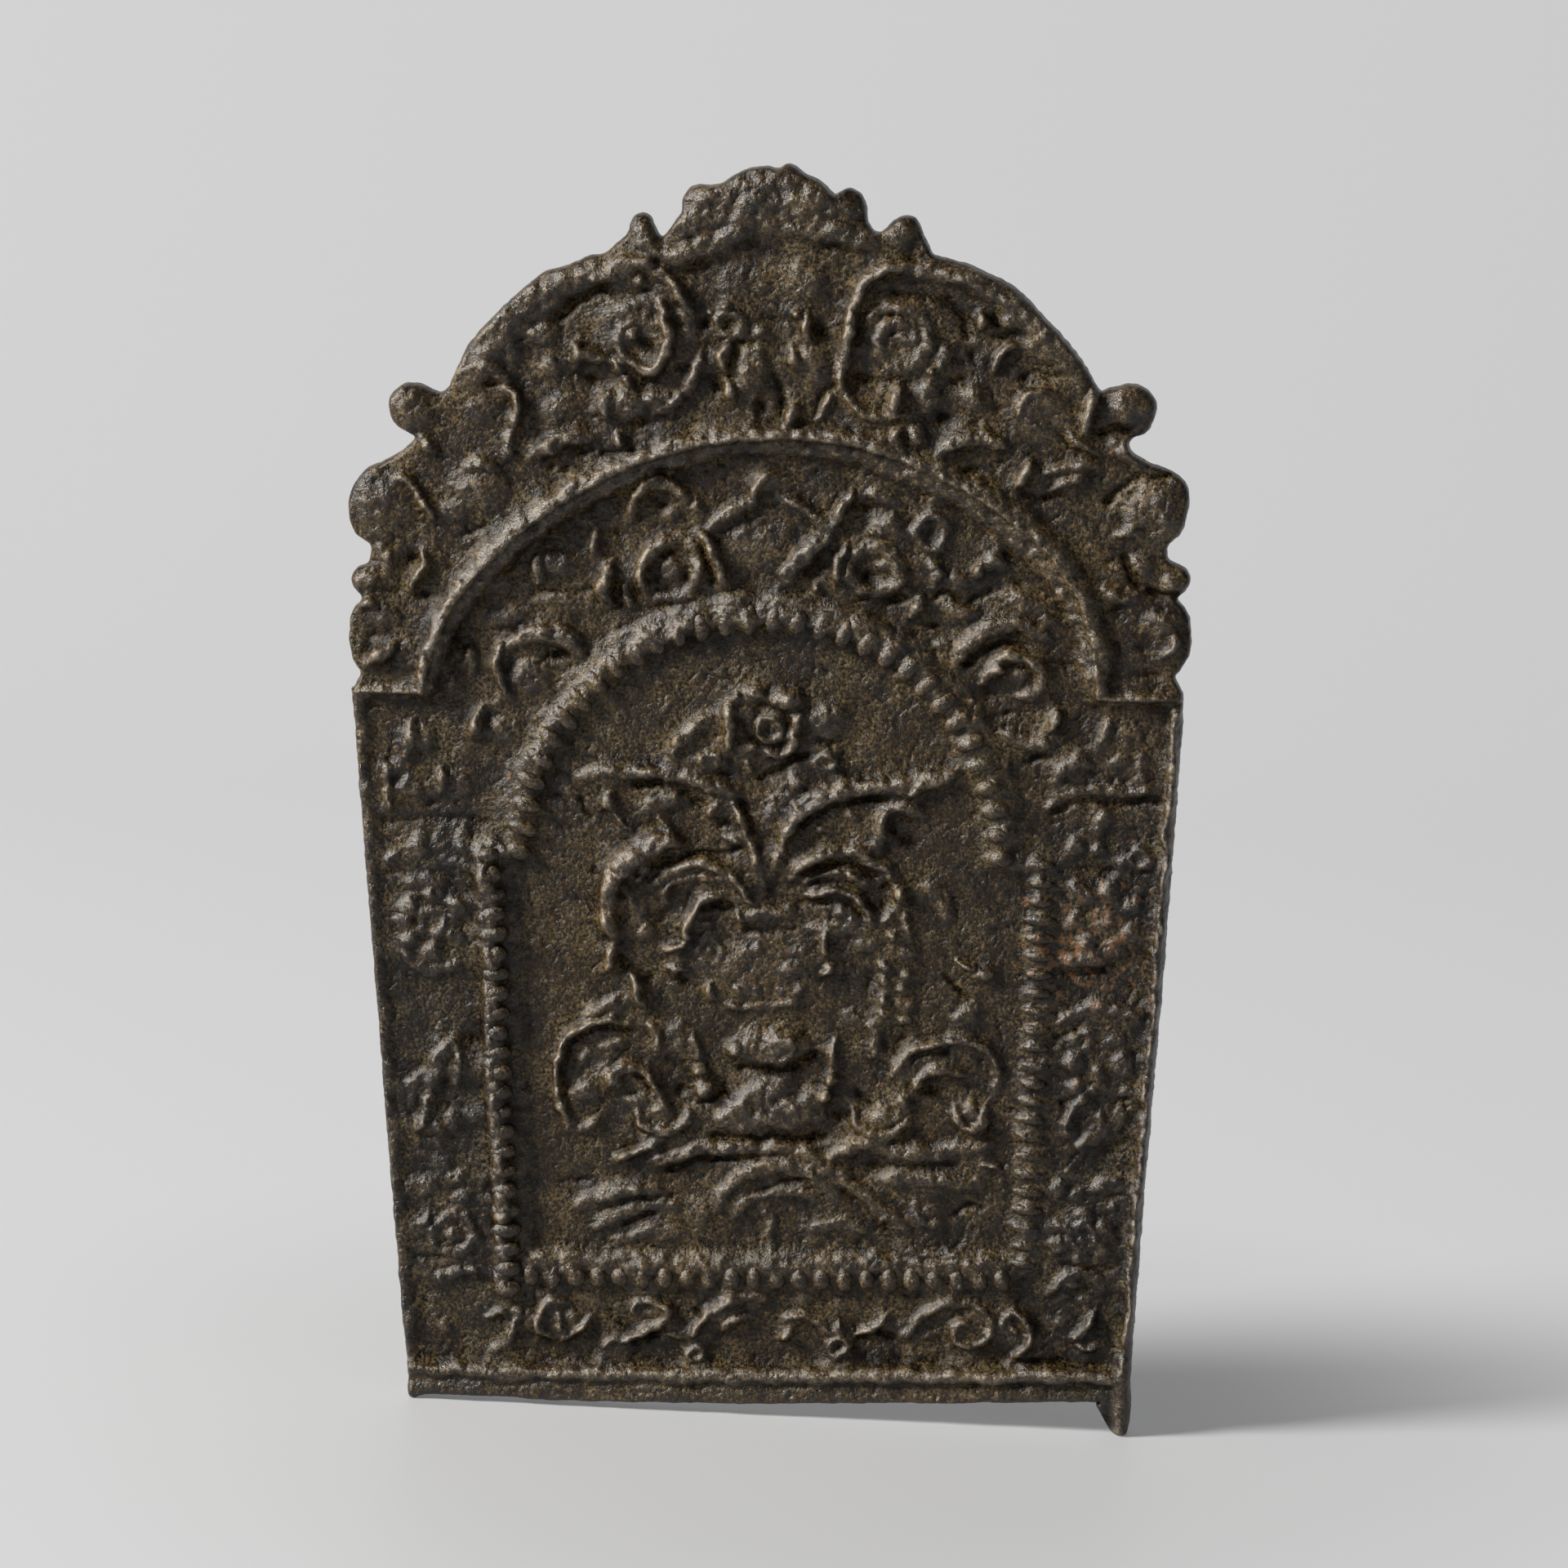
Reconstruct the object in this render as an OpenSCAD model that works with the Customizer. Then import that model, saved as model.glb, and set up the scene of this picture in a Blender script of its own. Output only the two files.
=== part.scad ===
// Small cast-iron fireback: an arched plate with a crest, a beaded frame and a vase of flowers.
// X runs to the right, Y to the back and Z up. The lowest point of the foot lies on Z = 0.

/* [Plate] */
// Height of the shoulders, where the straight sides end
shoulder_z = 91.5; // [90.5:0.5:93.5]
// Half of the width at the shoulders
shoulder_half_w = 50.9; // [50.4:0.1:52.4]
// Half of the width at the bottom corners
bottom_half_w = 45.1; // [44.6:0.1:47]
// Height of the bottom edge over the tip of the foot
bottom_z = 3.3; // [2.4:0.1:4.2]
// Thickness of the plate
plate_t = 3.0; // [2:0.1:6]
// How far the crest stands proud of the field
crest_step = 0.9; // [0.3:0.1:1.1]

/* [Edges] */
// Width of the rims along the two sides
rim_w = 2.2; // [1.4:0.1:2.8]
// Height of the side rims over the field
rim_h = 2.5; // [1:0.1:2.9]
// Width of the moulding along the bottom
base_w = 5.0; // [3.6:0.1:5.4]
// Height of the bottom moulding over the field
base_h = 2.6; // [1:0.1:2.9]
// Width of the foot at its tip
foot_tip_w = 2.2; // [1.6:0.1:3]
// Width of the foot at the bottom edge
foot_root_w = 4.3; // [3.4:0.1:6]
// Height of the ledges at the shoulders
ledge_h = 1.9; // [1.2:0.1:2.9]
// Width of the ledges
ledge_w = 1.8; // [1.2:0.1:2.4]

/* [Arch moulding] */
// Width of the crest beside the foot of the arch moulding
crest_band_w = 5.8; // [5:0.1:6.6]
// How far the centre of the arch lies under the shoulders
arch_drop = 11.4; // [10:0.1:12.4]
// Width of the arch moulding
arch_w = 3.8; // [2.4:0.1:4.4]
// Height of the arch moulding over the field
arch_h = 2.2; // [1.2:0.1:2.9]

/* [Beaded frame] */
// Radius of the row of beads over the centre panel
bead_arch_r = 29.4; // [27:0.1:31]
// Height at which the beaded arch springs
spring_z = 72; // [69:0.5:75]
// Height of the bottom row of beads
floor_z = 19; // [17.5:0.1:21]
// How much nearer to the middle the rib columns stand at their bottom than at their top
column_lean = 1.8; // [0:0.1:3]
// Length of a rib in the columns
rib_len = 4.0; // [3:0.1:4.6]
// Distance from rib to rib
rib_pitch = 2.15; // [1.9:0.05:3]
// Width of a rib
rib_w = 1.7; // [1:0.1:1.85]
// Distance from bead to bead
bead_pitch = 2.6; // [2.3:0.05:4]
// Diameter of a bead
bead_d = 2.1; // [1.2:0.1:2.2]
// Thickness of the band that the beads stand on
band_h = 0.7; // [0.4:0.1:1.2]
// Width of the band that the arched row of beads stands on
band_w = 4.2; // [3.2:0.1:4.8]
// Width of the band that the bottom row of beads stands on
row_band_w = 3.0; // [2.4:0.1:3.6]

/* [Vase] */
// Half of the widest part of the vase
vase_half_w = 8.4; // [6:0.1:9.4]
// Height of the vase's bowl over the field
vase_h = 2.6; // [1.4:0.1:2.9]
// Half of the width of the knop under the bowl
knop_half_w = 5.1; // [4:0.1:6]
// Height of the relief at its highest point, the knop
relief_h = 3.0; // [2.9:0.1:4]
// Half of the width of the bell-shaped foot at its hem
bell_half_w = 7.6; // [6:0.1:8.4]

/* [Ornament] */
// Height of stems, scrolls and leaves over what they lie on
leaf_h = 1.6; // [0.8:0.1:2]
// Height of the volutes over the crest
volute_h = 1.7; // [0.8:0.1:1.8]
// Clear strip on either side of the large rosettes in the side panels
rosette_gap = 1.1; // [0.6:0.1:2]
// Clear strip on either side of the small rosettes
small_rosette_gap = 0.9; // [0.6:0.1:1.6]
// Height of the bosses and petals
boss_h = 1.3; // [0.7:0.1:1.6]

/* [Hidden] */
$fn = 48;

iron = "dimgray";
worn_iron = "gray";
old_iron = "darkslategray";

// The front of the field lies at the middle of the whole depth when plate and relief are equal.
total_depth = plate_t + relief_h;
back_y = total_depth / 2;
field_y = back_y - plate_t;

arch_r = shoulder_half_w - crest_band_w - arch_w / 2;
arch_z = shoulder_z - arch_drop;
column_top_x = bead_arch_r + band_w / 2 + rib_len / 2 + 0.05 * rib_len;
column_bottom_x = column_top_x - column_lean;

// Half of the plate's width at height z
function edge_x(z) = bottom_half_w
    + (shoulder_half_w - bottom_half_w) * (z - bottom_z) / (shoulder_z - bottom_z);
// Middle of a rib column at height z
function column_x(z) = column_bottom_x
    + column_lean * (min(z, spring_z) - floor_z) / (spring_z - floor_z);
// Middle and half width of a side panel at height z
function side_x(z) = (edge_x(z) - rim_w + column_x(z) + rib_len / 2) / 2;
function side_room(z) = (edge_x(z) - rim_w - column_x(z) - rib_len / 2) / 2;

// The ornament was drawn once, on these lines. Each group moves and grows with what frames it.
drawn_arch_z = 80.1;
drawn_arch_outer = 45.1;
drawn_arch_inner = 41.3;
drawn_bead_outer = 31.5;
drawn_bead_inner = 27.3;
drawn_spring_z = 72;
drawn_floor_z = 19;
drawn_shoulder_z = 91.5;
drawn_bottom_z = 3.3;
// Half width, bottom and top of the frieze
drawn_frieze = [43.3, 8.3, 17.5];

// Crest: with the outer edge of the arch moulding
crest_k = (arch_r + arch_w / 2) / drawn_arch_outer;
function crest_place(p) = [p[0] * crest_k, arch_z + (p[1] - drawn_arch_z) * crest_k];

// Spandrel: between the beaded arch and the arch moulding, along rays from the arch's centre
function ray_to(u, centre_dz, r) = let (b = u[1] * centre_dz)
    b + sqrt(b * b + r * r - centre_dz * centre_dz);
function spandrel_place(p) = let (v = [p[0], p[1] - drawn_arch_z], u = unit(v),
    near = ray_to(u, drawn_spring_z - drawn_arch_z, drawn_bead_outer),
    t = (norm(v) - near) / (drawn_arch_inner - near),
    new_near = ray_to(u, spring_z - arch_z, bead_arch_r + band_w / 2),
    r = new_near + t * (arch_r - arch_w / 2 - new_near)) [u[0] * r, arch_z + u[1] * r];
spandrel_k = min(crest_k, (arch_z + arch_r - arch_w / 2 - spring_z - bead_arch_r - band_w / 2)
    / (drawn_arch_z + drawn_arch_inner - drawn_spring_z - drawn_bead_outer));

// Centre panel: between the columns, from the bottom row of beads to the spring of the arch
panel_kx = (bead_arch_r - band_w / 2) / drawn_bead_inner;
panel_kz = (spring_z - floor_z) / (drawn_spring_z - drawn_floor_z);
function panel_place(p) = [p[0] * panel_kx, floor_z + (p[1] - drawn_floor_z) * panel_kz];

// Side panels: between column and rim; x is drawn from the panel's middle
side_kz = (shoulder_z - bottom_z) / (drawn_shoulder_z - drawn_bottom_z);
function drawn_room(z) = 5.2 + (min(z, 72) - 20) * 0.014 + (max(z, 72) - 72) * 0.03;
function side_z(z) = bottom_z + (z - drawn_bottom_z) * side_kz;
function side_k(z) = min(side_kz, side_room(side_z(z)) / drawn_room(z));
function side_place(side, p) = let (z = side_z(p[1]))
    [side * side_x(z) + p[0] * side_room(z) / drawn_room(p[1]), z];

// Frieze: between the bottom moulding and the bottom row of beads
frieze_z0 = bottom_z + base_w;
frieze_kz = (floor_z - row_band_w / 2 - frieze_z0) / (drawn_frieze[2] - drawn_frieze[1]);
frieze_kx = (edge_x(frieze_z0) - rim_w) / drawn_frieze[0];
function frieze_place(p) = [p[0] * frieze_kx, frieze_z0 + (p[1] - drawn_frieze[1]) * frieze_kz];

$place = function(p) p;
$k = 1;

// Smooth curve through points
function between(a, b, c, d, t) = 0.5 * (2 * b + (c - a) * t
    + (2 * a - 5 * b + 4 * c - d) * t * t + (3 * b - a - 3 * c + d) * t * t * t);
function smooth_path(p, n = 3) = let (m = len(p) - 1)
    [for (i = [0 : m - 1]) for (k = [0 : n - 1])
        between(p[max(i - 1, 0)], p[i], p[i + 1], p[min(i + 2, m)], k / n), p[m]];
function unit(v) = v / norm(v);
function across(path, i) = let (m = len(path) - 1,
    d = unit(path[min(i + 1, m)] - path[max(i - 1, 0)])) [-d[1], d[0]];
// Fullness along a stroke: full in the middle, slim at both tips
function fullness(i, m, tip) = tip + (1 - tip) * pow(sin(180 * i / m), 0.6);
function mirrored(p) = [for (q = [len(p) - 1 : -1 : 0]) [-p[q][0], p[q][1]]];
function moved(p, dx, dz) = [for (q = p) [q[0] + dx, q[1] + dz]];

// A rounded stroke on the field, through points [x, z]
module stroke(points, half_w, h, tip = 0.45, level = 0, steps = 3) {
    path = smooth_path([for (p = points) $place(p)], steps);
    m = len(path) - 1;
    section = [[-1, 0], [-0.72, 0.66], [0, 1], [0.72, 0.66], [1, 0]];
    k = len(section);
    solid_points = [for (i = [0 : m]) let (f = fullness(i, m, tip), n = across(path, i))
        for (s = section) [path[i][0] + n[0] * s[0] * $k * half_w * f, field_y - level - s[1] * h * f,
            path[i][1] + n[1] * s[0] * $k * half_w * f]];
    sides = [for (i = [0 : m - 1]) for (j = [0 : k - 1]) let (a = i * k + j,
        b = i * k + (j + 1) % k) each [[a, b, a + k], [b, b + k, a + k]]];
    tips = [for (j = [1 : k - 2]) each [[0, j + 1, j], [m * k, m * k + j, m * k + j + 1]]];
    polyhedron(points = solid_points, faces = concat(sides, tips));
}

// Half of a flat arc, half_w wide and h high, to be swept
module half_arc(half_w, h) {
    r = (half_w * half_w + h * h) / (2 * h);
    intersection() {
        translate([0, h - r])
            circle(r);
        square([half_w, h]);
    }
}

// Puts a round ornament at a drawn place on the field
module on_field(x, z, level) {
    q = $place([x, z]);
    translate([q[0], field_y - level, q[1]])
        rotate([90, 0, 0])
            children();
}

// A round boss on the field
module boss(x, z, r, h, level = 0) {
    on_field(x, z, level)
        rotate_extrude()
            half_arc($k * r, min(h, $k * r));
}

// A half-round ring on the field
module ring(x, z, r, half_w, level = 0) {
    on_field(x, z, level)
        rotate_extrude()
            translate([$k * r, 0])
                intersection() {
                    circle($k * half_w);
                    translate([-$k * half_w, 0])
                        square([2 * $k * half_w, $k * half_w]);
                }
}

// A flower of round petals on a disc, with a boss in its middle
module rosette(q, r, petals) {
    disc_t = 0.4 * boss_h;
    petal_r = min(0.3, 0.62 * sin(180 / petals)) * r;
    translate([q[0], field_y, q[1]])
        rotate([90, 0, 0])
            union() {
                cylinder(h = disc_t, r = 0.82 * r);
                translate([0, 0, disc_t])
                    rotate_extrude()
                        half_arc(0.3 * r, min(boss_h, 0.3 * r));
                for (k = [0 : petals - 1])
                    rotate([0, 0, 90 + 360 * k / petals])
                        translate([0.66 * r, 0, disc_t])
                            rotate_extrude()
                                half_arc(petal_r, min(boss_h, petal_r));
            }
}

// A turned shape half sunk into the field: outline of [half width, height], h proud of the field
module turned(outline, h) {
    widest = max([for (q = outline) q[0]]);
    axis_y = (widest * widest - h * h) / (2 * h);
    heights = [for (q = outline) $place(q)[1]];
    low = heights[0];
    high = heights[len(heights) - 1];
    intersection() {
        translate([0, field_y + axis_y, 0])
            rotate_extrude($fn = 96)
                polygon(concat([[0, low]],
                    [for (i = [0 : len(outline) - 1])
                        [sqrt(outline[i][0] * outline[i][0] + axis_y * axis_y), heights[i]]],
                    [[0, high]]));
        translate([-widest - 1, field_y - h - 1, low])
            cube([2 * widest + 2, h + 1, high - low]);
    }
}

// A flat shape of the front view, t thick, with its front level above the field
module slab(t, level = 0) {
    translate([0, field_y - level + t, 0])
        rotate([90, 0, 0])
            linear_extrude(t)
                children();
}

module with_crest() {
    $place = function(p) crest_place(p);
    $k = crest_k;
    children();
}

module with_spandrel() {
    $place = function(p) spandrel_place(p);
    $k = spandrel_k;
    children();
}

module with_panel() {
    $place = function(p) panel_place(p);
    $k = min(panel_kx, panel_kz);
    children();
}

// Ornament of a side panel near height z
module with_side(side, z) {
    $place = function(p) side_place(side, p);
    $k = side_k(z);
    children();
}

module with_frieze() {
    $place = function(p) frieze_place(p);
    $k = min(frieze_kx, frieze_kz);
    children();
}

// ---------- plate ----------

// Right half of the crest's outline over the shoulder, without its lobes
crest_half = concat(
    [[50.9, 89.5], [50.9, 91.5], [50.0, 94.4], [48.4, 96], [49.4, 103.4], [48.8, 109.6], [48.2, 112],
        [46.4, 120.6], [43.4, 122.6], [43.0, 124.4], [42, 129.6]],
    smooth_path([[40.2, 129.4], [38.6, 132.2], [36, 135.7], [32.4, 139.4], [28.6, 142.5],
        [24.5, 144.4], [20.0, 145.7]], 3),
    [[19.0, 147.4], [15.0, 149.0], [13.6, 148.3], [12.8, 148.6], [12.2, 150.2]],
    smooth_path([[8.1, 153.2], [6.8, 154.2], [5, 155.3], [2.6, 156.2], [0, 156.5]], 2));
// Its round lobes: x, z, radius
crest_lobes = [[47.4, 99.0, 4.0], [49.8, 106.2, 1.6], [47.1, 115.4, 4.3], [43.6, 126.9, 3.1],
    [16.2, 148.7, 1.75], [10.2, 151.7, 2.1]];

module crest_outline() {
    right = [for (p = crest_half) crest_place(p)];
    union() {
        polygon(concat(right, mirrored(right)));
        for (s = [-1, 1])
            for (lobe = crest_lobes)
                translate(crest_place([s * lobe[0], lobe[1]]))
                    circle(crest_k * lobe[2]);
    }
}

module arch_disc() {
    translate([0, arch_z])
        circle(arch_r + arch_w / 2, $fn = 180);
}

module over_shoulder() {
    translate([-2 * shoulder_half_w, shoulder_z])
        square([4 * shoulder_half_w, 2 * shoulder_z]);
}

module field_plate() {
    color(iron)
        slab(plate_t) {
            polygon([[-bottom_half_w, bottom_z], [bottom_half_w, bottom_z],
                [shoulder_half_w, shoulder_z], [-shoulder_half_w, shoulder_z]]);
            intersection() {
                arch_disc();
                over_shoulder();
            }
        }
}

module crest_plate() {
    color(iron)
        slab(plate_t + crest_step, crest_step)
            difference() {
                intersection() {
                    crest_outline();
                    over_shoulder();
                }
                arch_disc();
            }
}

module rim(side) {
    z0 = bottom_z + base_w;
    top_w = 0.25 * rim_w;
    section = [[0, 0], [top_w, rim_h], [2 * top_w, rim_h], [rim_w, 0]];
    ends = [for (z = [z0, shoulder_z]) for (s = section)
        [side * (edge_x(z) - s[0]), field_y - s[1], z]];
    faces = [[3, 2, 1, 0], [4, 5, 6, 7], [0, 1, 5, 4], [1, 2, 6, 5], [2, 3, 7, 6], [3, 0, 4, 7]];
    polyhedron(points = ends, faces = side > 0 ? faces : [for (f = faces) [f[3], f[2], f[1], f[0]]]);
}

module rim_left() {
    color(old_iron)
        rim(-1);
}

module rim_right() {
    color(worn_iron)
        rim(1);
}

// Half-round moulding along the bottom edge
module base_moulding() {
    half = base_w / 2;
    r = (half * half + base_h * base_h) / (2 * base_h);
    color(worn_iron)
        translate([-bottom_half_w, field_y, bottom_z + half])
            rotate([90, 0, 90])
                linear_extrude(2 * bottom_half_w)
                    intersection() {
                        translate([r - base_h, 0])
                            circle(r);
                        translate([-base_h, -half])
                            square([base_h, base_w]);
                    }
}

// The one foot that is whole, in the right corner
module foot_right() {
    fillet_r = min(foot_root_w - foot_tip_w, bottom_z);
    foot_depth = plate_t + 0.8 * base_h;
    tip_x = bottom_half_w - foot_tip_w;
    color(iron)
        slab(foot_depth, foot_depth - plate_t)
            union() {
                translate([tip_x, 0])
                    square([foot_tip_w, bottom_z]);
                difference() {
                    translate([tip_x - fillet_r, bottom_z - fillet_r])
                        square(fillet_r);
                    translate([tip_x - fillet_r, bottom_z - fillet_r])
                        circle(fillet_r);
                }
            }
}

// What is left of the broken foot in the left corner
module foot_stub_left() {
    stub_h = 0.2 * bottom_z;
    color(old_iron)
        slab(plate_t + 0.5 * base_h, 0.5 * base_h)
            polygon([[-bottom_half_w, bottom_z], [-bottom_half_w + foot_tip_w, bottom_z],
                [-bottom_half_w + 0.6 * foot_tip_w, bottom_z - stub_h],
                [-bottom_half_w + 0.15 * foot_tip_w, bottom_z - stub_h]]);
}

module ledge(side) {
    inner_x = sqrt(pow(arch_r + arch_w / 2, 2) - pow(shoulder_z + ledge_w - arch_z, 2));
    outer_x = min(shoulder_half_w, 50.9 * crest_k) - 0.4 * ledge_w;
    rise = ledge_h - crest_step;
    slab(rise, crest_step + rise)
        polygon([[side * inner_x, shoulder_z], [side * outer_x, shoulder_z],
            [side * (outer_x - 0.1 * ledge_w), shoulder_z + ledge_w],
            [side * inner_x, shoulder_z + ledge_w]]);
}

module ledge_left() {
    color(worn_iron)
        ledge(-1);
}

module ledge_right() {
    color(worn_iron)
        ledge(1);
}

// Round moulding over the field, from shoulder to shoulder
module arch_moulding() {
    half = arch_w / 2;
    span = asin((shoulder_z - arch_z) / (arch_r - half));
    color(worn_iron)
        translate([0, field_y, arch_z])
            rotate([90, 0, 0])
                rotate([0, 0, span])
                    rotate_extrude(angle = 180 - 2 * span)
                        translate([arch_r, 0])
                            union() {
                                half_arc(half, arch_h);
                                mirror([1, 0])
                                    half_arc(half, arch_h);
                            }
}

// ---------- beaded frame ----------

module bead(x, z) {
    translate([x, field_y - band_h, z])
        rotate([90, 0, 0])
            rotate_extrude()
                half_arc(bead_d / 2, 0.45 * bead_d);
}

module bead_arch() {
    beads = floor(180 * bead_arch_r * PI / 180 / bead_pitch) - 1;
    step = 180 / (beads + 1);
    color(worn_iron)
        union() {
            translate([0, 0, spring_z])
                slab(band_h, band_h)
                    intersection() {
                        difference() {
                            circle(bead_arch_r + band_w / 2, $fn = 120);
                            circle(bead_arch_r - band_w / 2, $fn = 120);
                        }
                        translate([-2 * bead_arch_r, 0])
                            square([4 * bead_arch_r, 2 * bead_arch_r]);
                    }
            for (k = [1 : beads])
                bead(bead_arch_r * cos(k * step), spring_z + bead_arch_r * sin(k * step));
        }
}

module rib_column(side) {
    z0 = floor_z - row_band_w / 2;
    z1 = spring_z;
    ribs = floor((z1 - z0 - rib_w) / rib_pitch);
    half = rib_len / 2;
    slab(band_h, band_h)
        polygon([[side * (column_x(z0) - half), z0], [side * (column_x(z0) + half), z0],
            [side * (column_x(z1) + half), z1], [side * (column_x(z1) - half), z1]]);
    for (k = [0 : ribs]) {
        z = z0 + rib_w / 2 + k * rib_pitch;
        translate([side * column_x(z) - half, field_y - band_h, z])
            rotate([90, 0, 90])
                linear_extrude(rib_len)
                    intersection() {
                        circle(rib_w / 2);
                        translate([-rib_w, -rib_w])
                            square([rib_w, 2 * rib_w]);
                    }
    }
}

module rib_column_left() {
    color(worn_iron)
        rib_column(-1);
}

module rib_column_right() {
    color(worn_iron)
        rib_column(1);
}

// Straight row of beads under the centre panel, between the columns
module bead_row() {
    half = column_x(floor_z) - rib_len / 2 - 0.2 * bead_d;
    beads = floor((2 * half - bead_d) / bead_pitch);
    first = -beads * bead_pitch / 2;
    color(worn_iron)
        union() {
            slab(band_h, band_h)
                translate([-half, floor_z - row_band_w / 2])
                    square([2 * half, row_band_w]);
            for (k = [0 : beads])
                bead(first + k * bead_pitch, floor_z);
        }
}

// ---------- crest ----------

module cresting_shell() {
    color(iron)
        with_crest()
            union() {
                stroke([[-9.4, 149.4], [-4.5, 150.6], [0, 151.0], [4.5, 150.6], [9.4, 149.4]], 3.6,
                    leaf_h, 0.6, crest_step, 2);
                stroke([[-15.8, 149.4], [-15.2, 147.0], [-12.6, 146.6]], 1.1, leaf_h, 0.5, crest_step, 2);
                stroke([[15.8, 149.4], [15.4, 147.0], [13.0, 146.5]], 1.1, leaf_h, 0.5, crest_step, 2);
            }
}

module volute(side) {
    stroke([[side * 38.4, 128.2], [side * 35.4, 133.4], [side * 31.4, 137.7], [side * 26.6, 141.0],
        [side * 21.2, 143.1], [side * 16.4, 143.6], [side * 12.4, 141.8], [side * 10.1, 138.4],
        [side * 9.7, 134.6], [side * 11.6, 131.6], [side * 14.9, 130.6], [side * 18.0, 131.8],
        [side * 19.5, 134.6], [side * 18.8, 137.4]], 1.5, volute_h, 0.55, crest_step, 2);
    boss(side * 15.6, 135.4, 1.6, volute_h, crest_step);
}

module volute_left() {
    color(iron)
        with_crest()
            volute(-1);
}

module volute_right() {
    color(worn_iron)
        with_crest()
            volute(1);
}

// Feathers between the volutes
module plumes() {
    color(iron)
        with_crest()
            union() {
                stroke([[-1.9, 137.4], [-3.9, 133.6], [-4.0, 129.8], [-2.9, 126.9]], 1.4, leaf_h, 0.4,
                    crest_step);
                stroke([[1.9, 137.4], [4.0, 133.6], [3.8, 129.8], [2.8, 126.8]], 1.4, leaf_h, 0.4,
                    crest_step);
                stroke([[0, 134.4], [0, 131.6], [0, 128.4]], 0.9, leaf_h, 0.5, crest_step);
                boss(-4.9, 139.0, 1.7, boss_h, crest_step);
                boss(4.9, 139.0, 1.3, boss_h, crest_step);
                boss(0, 141.4, 1.9, boss_h, crest_step);
            }
}

module crest_leaves_left() {
    color(old_iron)
        with_crest()
            union() {
                stroke([[-34.4, 129.2], [-32.4, 130.0], [-30.6, 128.4], [-30.7, 125.4], [-31.2, 122.2]],
                    1.1, leaf_h, 0.5, crest_step);
                stroke([[-27.6, 121.4], [-24.8, 123.2], [-22.4, 123.4]], 1.2, leaf_h, 0.45, crest_step);
                boss(-26.6, 134.4, 1.9, boss_h, crest_step);
                boss(-24.2, 129.6, 1.8, boss_h, crest_step);
                boss(-18.9, 126.2, 2.2, boss_h, crest_step);
                boss(-14.5, 126.5, 1.6, boss_h, crest_step);
                ring(-35.2, 118.6, 2.0, 0.8, crest_step);
                boss(-35.2, 118.6, 0.8, 0.55 * boss_h, crest_step);
            }
}

module crest_leaves_right() {
    color(iron)
        with_crest()
            union() {
                ring(33.4, 125.8, 2.5, 0.8, crest_step);
                boss(33.4, 125.8, 1.1, 0.7 * boss_h, crest_step);
                stroke([[26.4, 121.2], [28.6, 122.2], [31.0, 120.6]], 1.1, leaf_h, 0.45, crest_step);
                stroke([[34.4, 119.6], [37.2, 120.2], [40.0, 119.9]], 0.9, leaf_h, 0.45, crest_step);
                stroke([[34.0, 116.4], [36.6, 116.6], [39.2, 115.9]], 0.8, leaf_h, 0.45, crest_step);
                boss(26.4, 134.4, 1.9, boss_h, crest_step);
                boss(24.6, 129.4, 1.6, boss_h, crest_step);
                boss(18.8, 126.1, 2.1, boss_h, crest_step);
                boss(14.7, 126.4, 1.5, boss_h, crest_step);
            }
}

module lobe_scrolls(side) {
    ring(side * 43.6, 126.9, 1.5, 0.8, crest_step);
    ring(side * 47.0, 115.4, 2.4, 0.9, crest_step);
    boss(side * 47.0, 115.4, 1.0, 0.7 * boss_h, crest_step);
    boss(side * 49.5, 106.2, 1.2, 0.8 * boss_h, crest_step);
    ring(side * 47.2, 99.2, 2.2, 0.9, crest_step);
    stroke([[side * 42.6, 112.6], [side * 43.0, 109.4], [side * 44.4, 106.4]], 0.9, leaf_h, 0.45,
        crest_step);
}

module lobe_scrolls_left() {
    color(old_iron)
        with_crest()
            lobe_scrolls(-1);
}

module lobe_scrolls_right() {
    color(iron)
        with_crest()
            lobe_scrolls(1);
}

// ---------- spandrel, between the arch moulding and the beads ----------

module spandrel_tulip() {
    color(iron)
        with_spandrel()
            union() {
                stroke([[-7.3, 112.4], [-5.0, 114.6], [0, 116.6], [5.0, 114.6], [7.3, 112.4]], 1.0, leaf_h,
                    0.5);
                stroke([[-6.4, 109.8], [-5.6, 107.2], [-4.4, 105.2]], 0.8, leaf_h);
                stroke([[6.4, 109.8], [5.2, 107.4], [3.4, 105.4]], 0.8, leaf_h);
                boss(0, 109.8, 2.5, boss_h);
                boss(0, 119.0, 1.1, 0.8 * boss_h);
            }
}

module spandrel_rosette_left() {
    color(iron)
        with_spandrel()
            union() {
                ring(-12.4, 107.2, 2.9, 1.1);
                boss(-12.4, 107.2, 1.1, 0.7 * boss_h);
            }
}

module spandrel_rosette_right() {
    color(worn_iron)
        with_spandrel()
            union() {
                ring(12.6, 107.2, 2.9, 1.1);
                boss(12.6, 107.2, 1.1, 0.7 * boss_h);
            }
}

module spandrel_buds_left() {
    color(old_iron)
        with_spandrel()
            union() {
                stroke([[-15.8, 113.2], [-14.9, 115.6], [-12.6, 116.0], [-10.6, 114.2]], 0.9, leaf_h);
                stroke([[-19.9, 108.0], [-20.1, 105.2], [-19.0, 102.8]], 1.0, leaf_h);
                boss(-25.4, 106.2, 1.9, boss_h);
                boss(-24.6, 102.0, 1.5, boss_h);
                boss(-31.2, 101.6, 1.8, boss_h);
            }
}

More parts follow.
